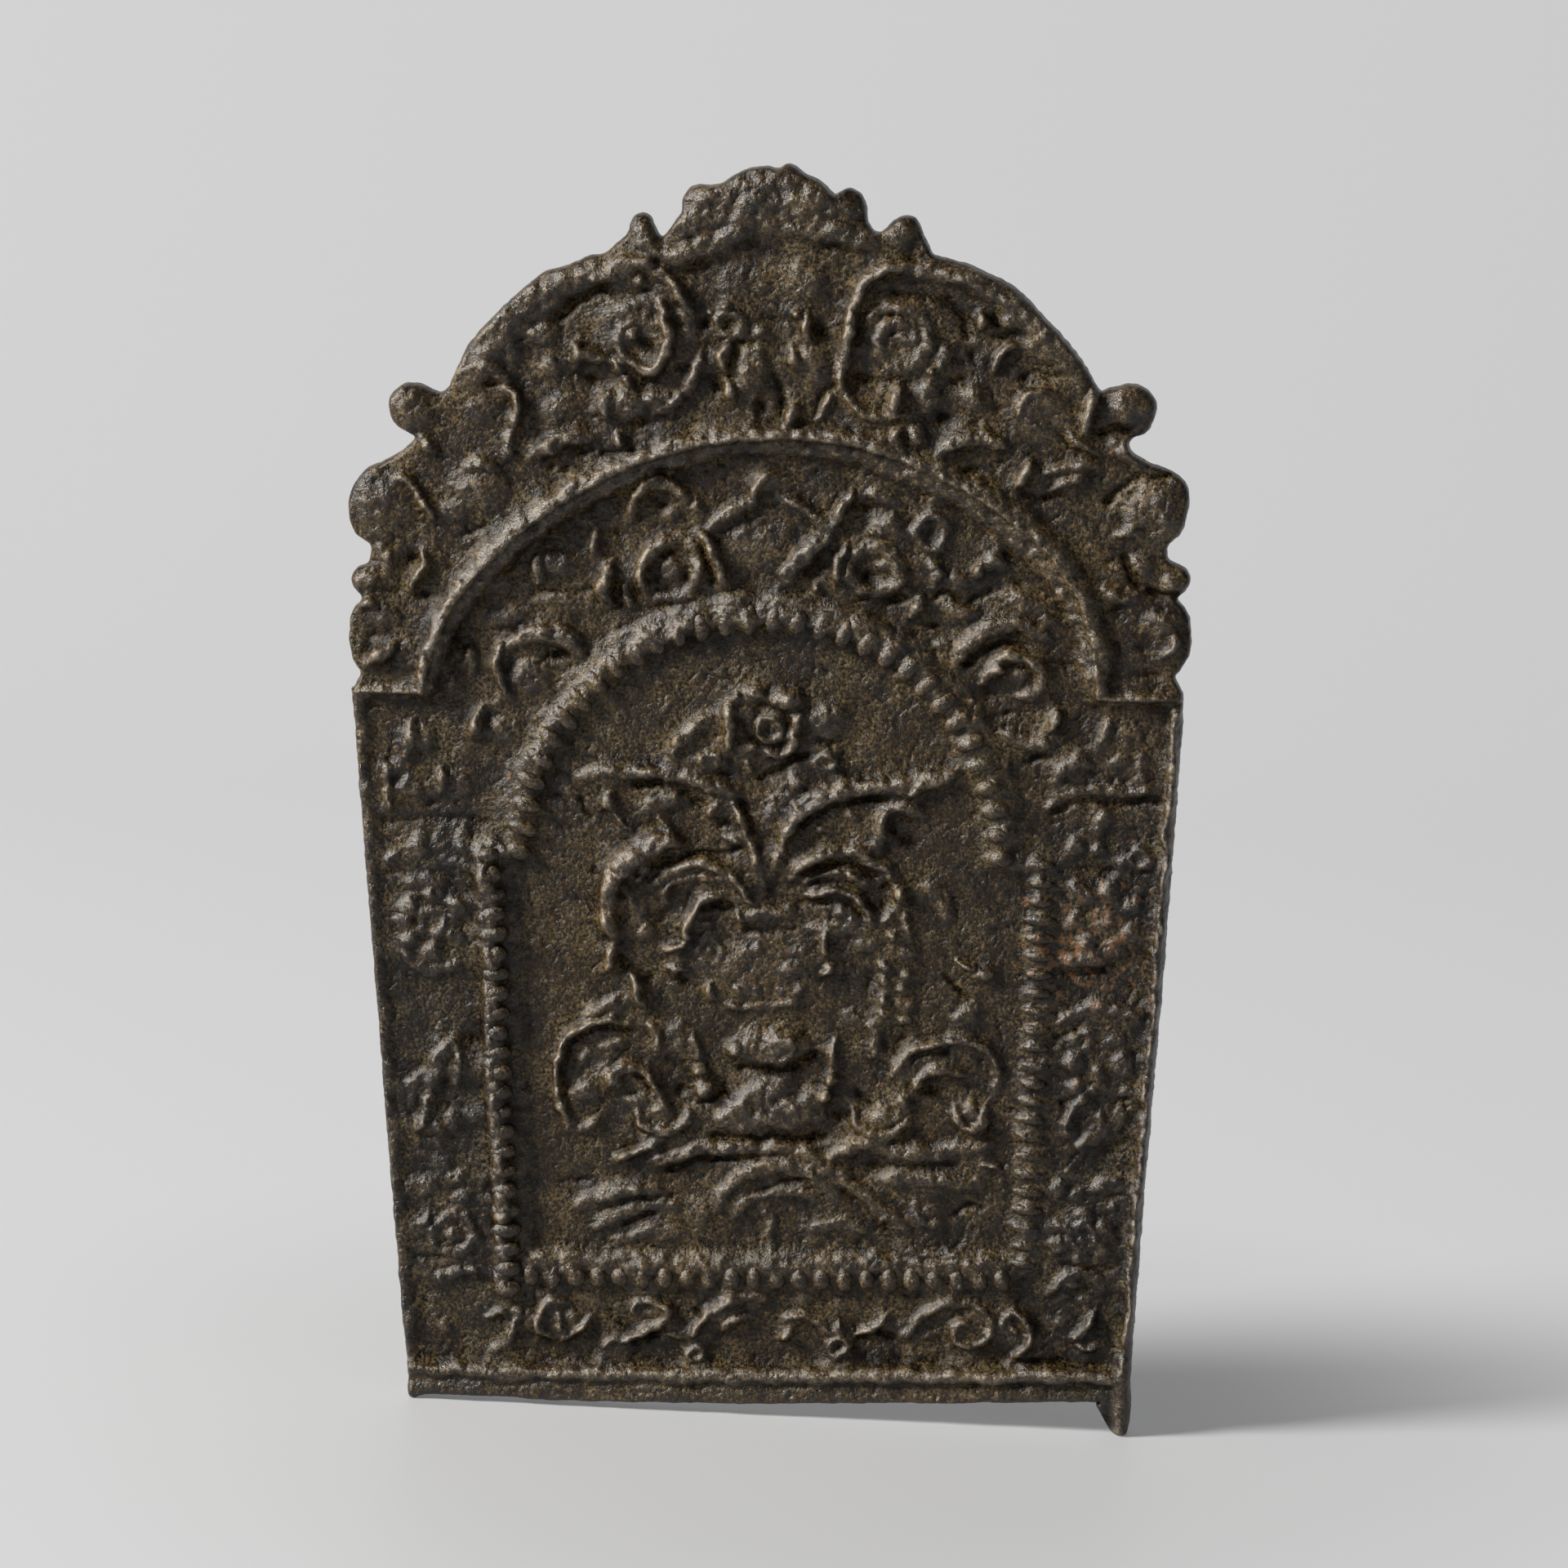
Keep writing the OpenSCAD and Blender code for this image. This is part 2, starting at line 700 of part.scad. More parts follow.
module spandrel_buds_right() {
    color(iron)
        with_spandrel()
            union() {
                stroke([[9.6, 114.0], [10.6, 116.2], [13.0, 116.6]], 0.9, leaf_h);
                stroke([[19.0, 107.2], [19.6, 104.8], [18.7, 102.4]], 0.9, leaf_h);
                ring(20.0, 111.4, 1.4, 0.7);
                boss(15.2, 113.4, 1.5, boss_h);
                boss(26.8, 106.8, 1.8, boss_h);
                boss(30.6, 102.8, 1.7, boss_h);
            }
}

module rose_left() {
    color(old_iron)
        with_spandrel()
            union() {
                stroke([[-32.8, 96.6], [-29.8, 98.5], [-26.6, 99.0], [-24.2, 97.8]], 1.2, leaf_h);
                stroke([[-33.6, 93.8], [-33.8, 91.4], [-32.2, 89.6]], 0.9, leaf_h);
                boss(-28.8, 94.2, 2.2, boss_h);
                boss(-33.4, 86.0, 1.5, boss_h);
            }
}

module rose_right() {
    color(worn_iron)
        with_spandrel()
            union() {
                stroke([[24.4, 97.2], [26.0, 99.4], [29.0, 100.2], [32.0, 99.4]], 1.2, leaf_h);
                ring(30.6, 94.2, 2.3, 0.9);
                boss(30.6, 94.2, 1.1, 0.7 * boss_h);
                stroke([[30.6, 87.6], [32.8, 86.6], [35.6, 87.2]], 1.0, leaf_h);
            }
}

// ---------- flowers over the vase ----------

module top_flower() {
    color(worn_iron)
        with_panel()
            union() {
                for (k = [0 : 5])
                    boss(0.2 + 3.9 * cos(90 + 60 * k), 87.9 + 3.9 * sin(90 + 60 * k), 1.8, 1.3 * boss_h);
                ring(0.2, 87.9, 1.1, 0.6);
                stroke([[-11.4, 84.8], [-10.0, 87.4], [-7.8, 89.4]], 1.1, leaf_h);
                boss(-8.2, 83.8, 1.5, boss_h);
                boss(8.2, 88.6, 1.7, boss_h);
                boss(8.0, 84.0, 1.3, boss_h);
                boss(0, 80.0, 1.4, boss_h);
            }
}

module long_leaves() {
    color(iron)
        with_panel()
            union() {
                stroke([[-1.1, 69.2], [-1.7, 73.0], [-2.9, 76.4], [-5.4, 79.0], [-9.4, 80.5],
                    [-14.0, 81.2], [-18.4, 81.6], [-22.0, 81.4]], 1.0, leaf_h);
                stroke([[1.3, 69.2], [2.2, 73.4], [4.0, 76.8], [7.0, 79.0], [11.0, 80.1], [15.2, 80.7],
                    [19.0, 81.1], [22.0, 81.9]], 1.0, leaf_h);
            }
}

module palm_left() {
    color(iron)
        with_panel()
            union() {
                stroke([[-14.4, 67.6], [-12.0, 69.8], [-8.6, 70.9], [-5.6, 70.3], [-3.6, 68.4]], 0.8,
                    leaf_h);
                stroke([[-12.0, 65.8], [-10.0, 67.5], [-7.4, 68.0], [-5.2, 67.0]], 0.7, leaf_h);
                stroke([[-11.4, 59.6], [-10.4, 62.4], [-8.8, 64.6], [-6.6, 65.2]], 0.6, leaf_h);
            }
}

module palm_right() {
    color(iron)
        with_panel()
            union() {
                stroke([[3.9, 68.6], [5.8, 71.0], [8.8, 72.1], [11.6, 71.6], [13.4, 69.8]], 0.8, leaf_h);
                stroke([[5.0, 67.4], [7.8, 69.0], [10.6, 68.8], [12.4, 67.4]], 0.7, leaf_h);
                stroke([[5.4, 65.0], [8.4, 66.3], [11.0, 65.2], [12.4, 62.8]], 0.6, leaf_h);
            }
}

module branch_left() {
    color(worn_iron)
        with_panel()
            union() {
                stroke([[-5.0, 74.0], [-8.6, 74.8], [-12.4, 74.2], [-15.8, 72.2], [-18.2, 69.4],
                    [-19.5, 66.0], [-19.6, 62.6]], 1.5, 1.3 * leaf_h, 0.4);
                stroke([[-16.8, 58.4], [-15.8, 56.4], [-14.8, 54.4]], 0.7, leaf_h);
                boss(-19.4, 59.2, 1.4, boss_h);
                boss(-15.6, 64.6, 1.8, boss_h);
                boss(-18.6, 77.2, 1.8, boss_h);
                boss(-12.6, 77.8, 1.3, boss_h);
            }
}

module branch_right() {
    color(iron)
        with_panel()
            union() {
                stroke([[14.9, 78.4], [14.5, 76.0], [14.7, 73.6]], 0.9, leaf_h, 0.4);
                stroke([[19.4, 69.4], [21.8, 66.6], [23.3, 63.4]], 1.3, leaf_h, 0.4);
                stroke([[16.3, 65.2], [16.2, 63.2], [15.4, 61.2]], 0.9, leaf_h);
                stroke([[13.4, 58.8], [13.7, 56.4], [13.5, 54.2]], 0.8, leaf_h);
                boss(16.7, 67.7, 1.1, boss_h);
                boss(20.0, 75.0, 1.6, boss_h);
                for (k = [0 : 2])
                    boss(17.2, 54.2 + 1.9 * k, 0.8, boss_h);
            }
}

// ---------- vase ----------

module vase_bowl() {
    color(worn_iron)
        with_panel()
            turned([[0.45 * vase_half_w, 53.0], [0.78 * vase_half_w, 54.2], [0.95 * vase_half_w, 56.2],
                [vase_half_w, 58.6], [0.9 * vase_half_w, 60.8], [0.6 * vase_half_w, 62.4]], vase_h);
}

module vase_lip() {
    color(worn_iron)
        with_panel()
            turned([[0.38 * vase_half_w, 62.8], [0.48 * vase_half_w, 63.8], [0.5 * vase_half_w, 64.8],
                [0.4 * vase_half_w, 65.8]], 0.8 * vase_h);
}

module vase_knop() {
    color(worn_iron)
        with_panel()
            turned([[0.6 * knop_half_w, 45.9], [0.9 * knop_half_w, 47.0], [knop_half_w, 48.4],
                [0.9 * knop_half_w, 49.8], [0.62 * knop_half_w, 50.9], [0.8 * knop_half_w, 51.3],
                [0.78 * knop_half_w, 52.3], [0.6 * knop_half_w, 52.8]], relief_h);
}

module vase_bell() {
    color(worn_iron)
        with_panel()
            turned([[0.97 * bell_half_w, 37.2], [bell_half_w, 38.2], [0.78 * bell_half_w, 40.0],
                [0.5 * bell_half_w, 43.0], [0.4 * bell_half_w, 45.5]], 0.9 * vase_h);
}

// The handles stand off the knop and the bell.
function handle_x(gap) = (max(knop_half_w, 0.67 * bell_half_w) + gap) / panel_kx;

module vase_handle_left() {
    color(iron)
        with_panel()
            stroke([[-handle_x(4.0), 47.4], [-handle_x(3.8), 45.2], [-handle_x(2.9), 43.2],
                [-handle_x(2.5), 41.8]], 0.9, 1.25 * leaf_h);
}

module vase_handle_right() {
    color(iron)
        with_panel()
            stroke([[handle_x(4.0), 48.2], [handle_x(3.6), 45.8], [handle_x(2.8), 43.6],
                [handle_x(2.5), 41.8]], 0.9, 1.25 * leaf_h);
}

// ---------- scrolls and ground under the vase ----------

module scroll_left() {
    color(iron)
        with_panel()
            union() {
                stroke([[-18.0, 53.4], [-19.8, 51.9], [-22.4, 50.8], [-24.6, 48.8], [-25.8, 46.0],
                    [-26.0, 42.8], [-25.3, 39.8], [-24.7, 37.8]], 0.8, leaf_h);
                stroke([[-19.2, 42.6], [-18.4, 44.6], [-16.2, 45.0], [-14.2, 43.6], [-13.2, 41.4]], 0.9,
                    leaf_h);
                stroke([[-16.4, 40.2], [-15.6, 38.6], [-13.6, 37.8], [-11.6, 38.4], [-10.6, 39.8]], 0.7,
                    leaf_h);
                stroke([[-13.9, 50.8], [-13.7, 49.2], [-14.1, 47.6]], 0.8, leaf_h);
                boss(-22.6, 41.2, 1.3, boss_h);
            }
}

module scroll_right() {
    color(iron)
        with_panel()
            union() {
                stroke([[10.8, 40.4], [11.6, 38.7], [13.4, 37.8], [15.4, 38.2], [16.9, 39.8],
                    [17.0, 41.4]], 0.7, leaf_h);
                stroke([[22.9, 41.2], [23.6, 39.3], [25.2, 38.4], [26.8, 39.4], [27.2, 41.2]], 0.7,
                    leaf_h);
                stroke([[15.8, 45.8], [17.4, 47.8], [20.2, 48.9], [23.4, 48.6], [26.0, 46.9],
                    [28.0, 44.6], [28.9, 42.6]], 0.8, leaf_h);
                stroke([[18.9, 43.2], [20.2, 44.7], [22.6, 45.0], [25.0, 44.2]], 0.9, leaf_h);
                stroke([[13.6, 50.6], [13.8, 48.8], [13.2, 47.0]], 0.8, leaf_h);
                boss(24.4, 53.2, 1.3, boss_h);
                boss(25.6, 57.4, 1.5, boss_h);
            }
}

// Hilly ground on which the vase stands
module ground() {
    color(old_iron)
        with_panel()
            union() {
                stroke([[-21.0, 31.4], [-16.0, 33.2], [-9.0, 34.6], [-1.0, 35.0], [5.0, 34.3],
                    [9.0, 32.0], [12.2, 29.2]], 1.1, leaf_h);
                stroke([[-6.4, 28.4], [-4.0, 30.7], [0, 31.8], [4.0, 31.2], [7.6, 28.8]], 1.0, leaf_h);
                stroke([[-4.2, 26.2], [-1.4, 28.1], [2.4, 28.3], [5.4, 26.6]], 0.8, leaf_h);
                stroke([[-25.2, 27.6], [-20.4, 29.2], [-14.6, 30.0], [-10.2, 29.6]], 1.0, leaf_h);
                stroke([[-22.6, 23.8], [-18.4, 25.6], [-12.8, 26.2]], 1.0, leaf_h);
                stroke([[14.6, 32.8], [20.0, 32.9], [25.2, 32.0]], 1.0, leaf_h);
                stroke([[14.4, 29.2], [20.0, 28.6], [25.8, 27.2]], 0.9, leaf_h);
                stroke([[12.4, 35.4], [18.0, 35.6], [24.2, 35.6]], 0.6, 0.6 * leaf_h);
                boss(-3.6, 23.2, 1.1, 0.6 * boss_h);
                boss(8.0, 23.8, 1.1, 0.6 * boss_h);
            }
}

// ---------- side panels; x is drawn from the middle of the panel ----------

module side_buds_left() {
    color(old_iron)
        with_side(-1, 80)
            union() {
                stroke([[-1.6, 88.0], [-2.3, 85.4], [-2.6, 82.6]], 0.8, leaf_h);
                stroke([[2.4, 83.2], [2.0, 80.8], [1.7, 78.8]], 0.8, leaf_h);
                boss(-2.2, 79.2, 1.6, boss_h);
                boss(-1.9, 73.2, 1.8, boss_h);
                boss(2.6, 73.6, 1.5, boss_h);
            }
}

module side_buds_right() {
    color(iron)
        with_side(1, 80)
            union() {
                stroke([[-3.2, 81.8], [-1.6, 84.2], [0.8, 84.6]], 0.9, leaf_h);
                boss(2.6, 87.2, 1.6, boss_h);
                boss(2.6, 81.4, 1.3, boss_h);
                boss(-0.6, 77.0, 1.5, boss_h);
                boss(3.0, 73.0, 1.4, boss_h);
                boss(-2.4, 73.4, 1.5, boss_h);
            }
}

module side_rosette_left() {
    color(iron)
        rosette(side_place(-1, [0, 63.6]), side_room(side_z(63.6)) - rosette_gap, 6);
}

module side_rosette_right() {
    color(worn_iron)
        rosette(side_place(1, [0, 64.8]), side_room(side_z(64.8)) - rosette_gap, 7);
}

module husk_left() {
    color(old_iron)
        with_side(-1, 40)
            union() {
                stroke([[0.6, 50.2], [-1.4, 47.4], [-2.6, 44.6], [-3.2, 42.0]], 0.9, leaf_h);
                stroke([[2.6, 49.0], [2.4, 46.0], [2.6, 43.2]], 0.9, leaf_h);
                stroke([[0.4, 45.0], [-0.2, 42.0], [-1.4, 39.4]], 0.8, leaf_h);
                boss(1.4, 38.4, 1.3, boss_h);
                boss(-2.0, 35.6, 1.3, boss_h);
                boss(1.6, 32.4, 1.2, boss_h);
            }
}

module husk_right() {
    color(iron)
        with_side(1, 40)
            union() {
                stroke([[-4.0, 51.6], [-1.6, 53.2], [1.4, 53.4], [4.0, 52.0]], 0.9, leaf_h);
                boss(-2.4, 47.4, 1.6, boss_h);
                boss(-2.2, 43.8, 1.5, boss_h);
                boss(2.2, 46.6, 1.9, boss_h);
                stroke([[0.4, 42.6], [-0.8, 40.6], [-2.6, 38.4]], 0.8, leaf_h);
                boss(1.0, 37.4, 1.4, boss_h);
                stroke([[-0.8, 31.4], [1.2, 32.2], [3.2, 33.2]], 0.9, leaf_h);
            }
}

module low_rosette(side, turn) {
    q = side_place(side, [0, 24.4]);
    r = (side_room(q[1]) - small_rosette_gap) / 1.22;
    union() {
        translate([q[0], field_y, q[1]])
            rotate([90, 0, 0])
                union() {
                    for (k = [0 : 5])
                        rotate([0, 0, turn + 60 * k])
                            translate([0.94 * r, 0, 0])
                                rotate_extrude()
                                    half_arc(0.28 * r, min(boss_h, 0.28 * r));
                    rotate_extrude()
                        half_arc(0.5 * r, min(0.9 * boss_h, 0.5 * r));
                }
        with_side(side, 20)
            union() {
                boss(-1.4, 18.2, 1.2, boss_h);
                boss(1.5, 18.4, 1.1, boss_h);
            }
    }
}

module low_rosette_left() {
    color(old_iron)
        low_rosette(-1, 90);
}

module low_rosette_right() {
    color(iron)
        low_rosette(1, 60);
}

// ---------- frieze along the bottom ----------

module frieze_half(side) {
    stroke([[side * 17.4, 11.2], [side * 18.8, 13.2], [side * 20.9, 14.8], [side * 23.8, 15.4],
        [side * 26.6, 14.6], [side * 27.9, 12.8], [side * 26.9, 11.2], [side * 24.8, 10.9],
        [side * 23.7, 12.2]], 0.7, 0.8 * leaf_h, 0.5, 0, 2);
    stroke([[side * 30.3, 13.2], [side * 31.3, 14.6], [side * 32.7, 13.8], [side * 32.7, 12.2],
        [side * 31.8, 10.8], [side * 30.4, 9.9]], 0.7, leaf_h, 0.5, 0, 2);
    stroke([[side * 40.2, 14.8], [side * 39.1, 13.2], [side * 37.2, 11.8]], 0.8, leaf_h);
    boss(side * 35.8, 14.4, 1.0, 0.6 * boss_h);
    boss(side * 40.9, 10.6, 1.1, 0.7 * boss_h);
}

module frieze_left() {
    color(old_iron)
        with_frieze()
            frieze_half(-1);
}

module frieze_right() {
    color(iron)
        with_frieze()
            frieze_half(1);
}

module frieze_volutes() {
    color(iron)
        with_frieze()
            union() {
                for (s = [-1, 1]) {
                    stroke([[s * 9.5, 11.4], [s * 8.1, 13.4], [s * 6.2, 14.9], [s * 3.9, 15.4],
                        [s * 2.2, 14.5], [s * 2.0, 12.9], [s * 3.2, 11.8]], 0.7, leaf_h, 0.5, 0, 2);
                    stroke([[s * 11.4, 11.0], [s * 13.3, 12.2], [s * 14.8, 14.4]], 0.7, leaf_h);
                    boss(s * 5.0, 13.0, 0.8, 0.55 * boss_h);
                    boss(s * 8.4, 9.9, 0.9, 0.6 * boss_h);
                }
                stroke([[0, 10.4], [0, 12.8], [0, 15.2]], 0.6, 0.7 * leaf_h);
            }
}

field_plate();
crest_plate();
rim_left();
rim_right();
base_moulding();
foot_right();
foot_stub_left();
ledge_left();
ledge_right();
arch_moulding();
bead_arch();
rib_column_left();
rib_column_right();
bead_row();
cresting_shell();
volute_left();
volute_right();
plumes();
crest_leaves_left();
crest_leaves_right();
lobe_scrolls_left();
lobe_scrolls_right();
spandrel_tulip();
spandrel_rosette_left();
spandrel_rosette_right();
spandrel_buds_left();
spandrel_buds_right();
rose_left();
rose_right();
top_flower();
long_leaves();
palm_left();
palm_right();
branch_left();
branch_right();
vase_bowl();
vase_lip();
vase_knop();
vase_bell();
vase_handle_left();
vase_handle_right();
scroll_left();
scroll_right();
ground();
side_buds_left();
side_buds_right();
side_rosette_left();
side_rosette_right();
husk_left();
husk_right();
low_rosette_left();
low_rosette_right();
frieze_left();
frieze_right();
frieze_volutes();
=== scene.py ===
import bpy
import numpy as np
from bpy.props import FloatProperty, FloatVectorProperty, PointerProperty
from mathutils import Matrix, Vector


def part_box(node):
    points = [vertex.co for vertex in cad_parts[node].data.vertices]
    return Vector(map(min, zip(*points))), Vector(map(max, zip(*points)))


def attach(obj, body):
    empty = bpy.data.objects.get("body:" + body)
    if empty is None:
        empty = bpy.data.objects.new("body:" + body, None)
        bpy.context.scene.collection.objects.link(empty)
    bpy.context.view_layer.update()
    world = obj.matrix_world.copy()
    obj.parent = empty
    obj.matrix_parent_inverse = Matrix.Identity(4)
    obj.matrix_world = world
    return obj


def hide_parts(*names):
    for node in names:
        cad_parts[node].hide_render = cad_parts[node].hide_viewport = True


bl_info = {
    "name": "Cast-iron fireback",
    "version": (1, 0, 0),
    "blender": (4, 5, 0),
    "location": "3D View > Sidebar > Fireback",
    "description": "Builds the fireback's worn relief, its sand-cast iron and a plain studio stage",
    "category": "Object",
}

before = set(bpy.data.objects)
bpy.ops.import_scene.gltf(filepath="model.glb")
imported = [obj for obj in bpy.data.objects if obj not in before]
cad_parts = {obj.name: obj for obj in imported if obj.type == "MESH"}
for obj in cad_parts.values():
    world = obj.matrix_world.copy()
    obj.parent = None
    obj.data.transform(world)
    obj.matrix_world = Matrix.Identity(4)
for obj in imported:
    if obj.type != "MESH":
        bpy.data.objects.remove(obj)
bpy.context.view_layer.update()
MM = 0.001
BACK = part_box("field_plate")[1][1] / MM      # the flat back, in mm
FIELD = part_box("field_plate")[0][1] / MM     # the front of the field


# ---------------------------------------------------------------- the relief, as a height field

GRID = 0.2                                   # mm between two points of the field
LEFT, RIGHT, BOTTOM, TOP = -53.0, 53.0, -1.0, 158.0
SPRING = 91.9                                # height of the ledges, where the arch springs from the rims
CREST_RISE = 0.9                             # the crest's ground stands this far in front of the field
BEAD_SWELL = 0.72                            # share of a bead's height up to which iron surrounds it
WEAR_FROM, WEAR_GIVE = 2.45, 0.5             # relief above the first is pressed down to within the second
FRONT_ROUND, BACK_ROUND = 0.45, 0.55         # radii of the cast edges
WALL_ROWS = 6                                # rows of faces down the wall of the silhouette
BACK_STEP = 5                                # grid cells along one block of the flat back


def curve(points, closed=False, gap=0.3):
    """A smooth line through the points, x and z in turn, as a dense row of points."""
    p = np.asarray(points, float).reshape(-1, 2)
    if len(p) == 2:
        p = np.array([p[0], (p[0] + p[1]) / 2, p[1]])
    ends = (p[-1], p[:2]) if closed else (2 * p[0] - p[1], 2 * p[-1] - p[-2])
    q = np.vstack([ends[0], p, ends[1]])
    out = []
    for a, b, c, d in zip(q[:-3], q[1:-2], q[2:-1], q[3:]):
        n = max(2, int(np.hypot(*(c - b)) / gap))
        t = np.linspace(0, 1, n, endpoint=False)[:, None]
        square, cube = 2 * a - 5 * b + 4 * c - d, 3 * b - a - 3 * c + d
        out.append(0.5 * (2 * b + (c - a) * t + square * t**2 + cube * t**3))
    out = np.vstack(out)
    return out if closed else np.vstack([out, p[-1]])


def lumps(x, z, size, seed):
    """Smooth unevenness between about -1 and 1, whose lumps are size mm across. The seed fixes it."""
    angle = np.random.default_rng(seed).random((256, 256)) * 2 * np.pi
    gx, gz = np.cos(angle), np.sin(angle)
    c, s = np.cos(seed * 2.4), np.sin(seed * 2.4)
    u, v = (x * c + z * s) / size + 300, (z * c - x * s) / size + 300
    i, j = np.floor(u).astype(int), np.floor(v).astype(int)
    u, v = u - i, v - j

    def corner(a, b):
        n = (i + a) % 256, (j + b) % 256
        return gx[n] * (u - a) + gz[n] * (v - b)

    su, sv = u**3 * (u * (6 * u - 15) + 10), v**3 * (v * (6 * v - 15) + 10)
    low = corner(0, 0) * (1 - su) + corner(1, 0) * su
    high = corner(0, 1) * (1 - su) + corner(1, 1) * su
    return 1.5 * (low * (1 - sv) + high * sv)


def soften(a, times):
    """The field after molten iron has rounded it: each pass spreads it by about a third of a cell."""
    for _ in range(times):
        p = np.pad(a, 1, mode="edge")
        a = (p[:-2, 1:-1] + p[2:, 1:-1] + p[1:-1, :-2] + p[1:-1, 2:] + 4 * a) / 8
    return a


def fill(a, cells):
    """The field with every gap narrower than about twice so many cells filled up level."""
    for widest in (np.maximum, np.minimum):
        for k in range(cells):
            p = np.pad(a, 1, mode="edge")
            a = widest(widest(widest(p[:-2, 1:-1], p[2:, 1:-1]), widest(p[1:-1, :-2], p[1:-1, 2:])), a)
            if k % 2:
                a = widest(a, widest(widest(p[:-2, :-2], p[2:, 2:]), widest(p[:-2, 2:], p[2:, :-2])))
    return a


def inside(line, x, z):
    """Which points of the grid lie inside a closed line."""
    a, b = np.asarray(line, float), np.roll(line, -1, 0)
    out = np.zeros((len(z), len(x)), bool)
    for j, level in enumerate(z):
        m = (a[:, 1] <= level) != (b[:, 1] <= level)
        cross = a[m, 0] + (level - a[m, 1]) * (b[m, 0] - a[m, 0]) / (b[m, 1] - a[m, 1])
        out[j] = np.searchsorted(np.sort(cross), x) % 2 == 1
    return out


class Relief:
    """A height field in mm above the front of the field, with the strokes that shape it."""

    def __init__(self, wander):
        self.x = np.arange(LEFT, RIGHT + GRID / 2, GRID)
        self.z = np.arange(BOTTOM, TOP + GRID / 2, GRID)
        x, z = np.meshgrid(self.x, self.z)
        self.plain = x, z
        # Strokes are laid on a field that is slightly out of true, as in an often recast pattern.
        self.X = x + wander * (0.8 * lumps(x, z, 3.4, 1) + 0.45 * lumps(x, z, 1.3, 2))
        self.Z = z + wander * (0.8 * lumps(x, z, 3.4, 3) + 0.45 * lumps(x, z, 1.3, 4))
        self.base = np.zeros_like(x)
        self.h = self.base.copy()
        self.cuts = np.zeros_like(x)         # dents and grooves, taken off when every ridge is drawn
        self.keep = 1.0                      # share of a stroke's drawn height, set group by group

    def window(self, x0, x1, z0, z1):
        """The part of the grid between two lines each way, and a little more for the strokes' wander."""
        i0, i1 = np.searchsorted(self.x, [x0 - 0.7, x1 + 0.7])
        j0, j1 = np.searchsorted(self.z, [z0 - 0.7, z1 + 0.7])
        return slice(max(j0 - 1, 0), j1 + 1), slice(max(i0 - 1, 0), i1 + 1)

    def raise_to(self, win, top, soft):
        """Takes the higher of the field and the new form, with a fillet of soft mm between them."""
        a, b = self.h[win], self.base[win] + top * self.keep
        s = np.maximum(soft - np.abs(a - b), 0) / soft
        self.h[win] = np.maximum(a, b) + s * s * soft / 4

    def ridge(self, points, w, h, closed=False, taper=0.4, soft=0.6):
        """A rounded band along a line: w its half width and h its height, or lists of them."""
        c = curve(points, closed)
        t = np.r_[0, np.cumsum(np.hypot(*np.diff(c, axis=0).T))]
        length, t = t[-1], t / t[-1]
        w, h = np.atleast_1d(w), np.atleast_1d(h)
        ws = np.interp(t, np.linspace(0, 1, len(w)), w)
        hs = np.interp(t, np.linspace(0, 1, len(h)), h)
        if not closed:
            end = np.clip(np.minimum(t, 1 - t) * length / (1.5 * ws), 0, 1)
            fade = taper + (1 - taper) * np.sqrt(end)
            ws, hs = ws * fade, hs * fade
        m = ws.max() * 1.5
        (x0, z0), (x1, z1) = c.min(0) - m, c.max(0) + m
        win = self.window(x0, x1, z0, z1)
        X, Z = self.X[win], self.Z[win]
        best = np.full(X.shape, -9.0)
        for (cx, cz), a, b in zip(c, ws, hs):
            rows = np.searchsorted(self.z[win[0]], [cz - 2.2 * a - 0.8, cz + 2.2 * a + 0.8])
            cols = np.searchsorted(self.x[win[1]], [cx - 2.2 * a - 0.8, cx + 2.2 * a + 0.8])
            near = slice(*np.clip(rows, 0, X.shape[0])), slice(*np.clip(cols, 0, X.shape[1]))
            u = ((X[near] - cx) ** 2 + (Z[near] - cz) ** 2) / a**2
            best[near] = np.maximum(best[near], b * (1 - u) * (1 + 0.5 * np.minimum(u, 1)))
        self.raise_to(win, best, soft)

    def turned(self, x, z, rx, rz, turn, reach):
        """The window round a turned oval, and there the square of the distance from it, 1 on the oval."""
        m = max(rx, rz) * reach
        win = self.window(x - m, x + m, z - m, z + m)
        X, Z, a = self.X[win] - x, self.Z[win] - z, np.radians(turn)
        c, s = np.cos(a), np.sin(a)
        return win, ((X * c + Z * s) / rx) ** 2 + ((Z * c - X * s) / rz) ** 2

    def dome(self, x, z, rx, rz, h, turn=0, soft=0.55):
        """An oval boss of half sizes rx and rz, turned by so many degrees."""
        win, r = self.turned(x, z, rx, rz, turn, 1.5)
        self.raise_to(win, h * (1 - r) * (1 + 0.5 * np.minimum(r, 1)), soft)

    def ring(self, x, z, r, w, h, rz=None, **more):
        """A closed band round a centre, oval where rz is given."""
        a = np.linspace(0, 2 * np.pi, 20, endpoint=False)
        self.ridge(np.c_[x + r * np.cos(a), z + (rz or r) * np.sin(a)], w, h, closed=True, **more)

    def curl(self, x, z, r0, r1, start, turns, w, h, **more):
        """A spiral band from radius r0 to r1."""
        t = np.linspace(0, 1, max(6, int(abs(turns) * 16)))
        a, r = np.radians(start) + 2 * np.pi * turns * t, r0 + (r1 - r0) * t
        self.ridge(np.c_[x + r * np.cos(a), z + r * np.sin(a)], w, h, **more)

    def dent(self, x, z, rx, rz, depth, turn=0):
        """An oval hollow with soft sides."""
        win, r = self.turned(x, z, rx, rz, turn, 1.8)
        self.cuts[win] += self.keep * depth * np.exp(-1.6 * r)

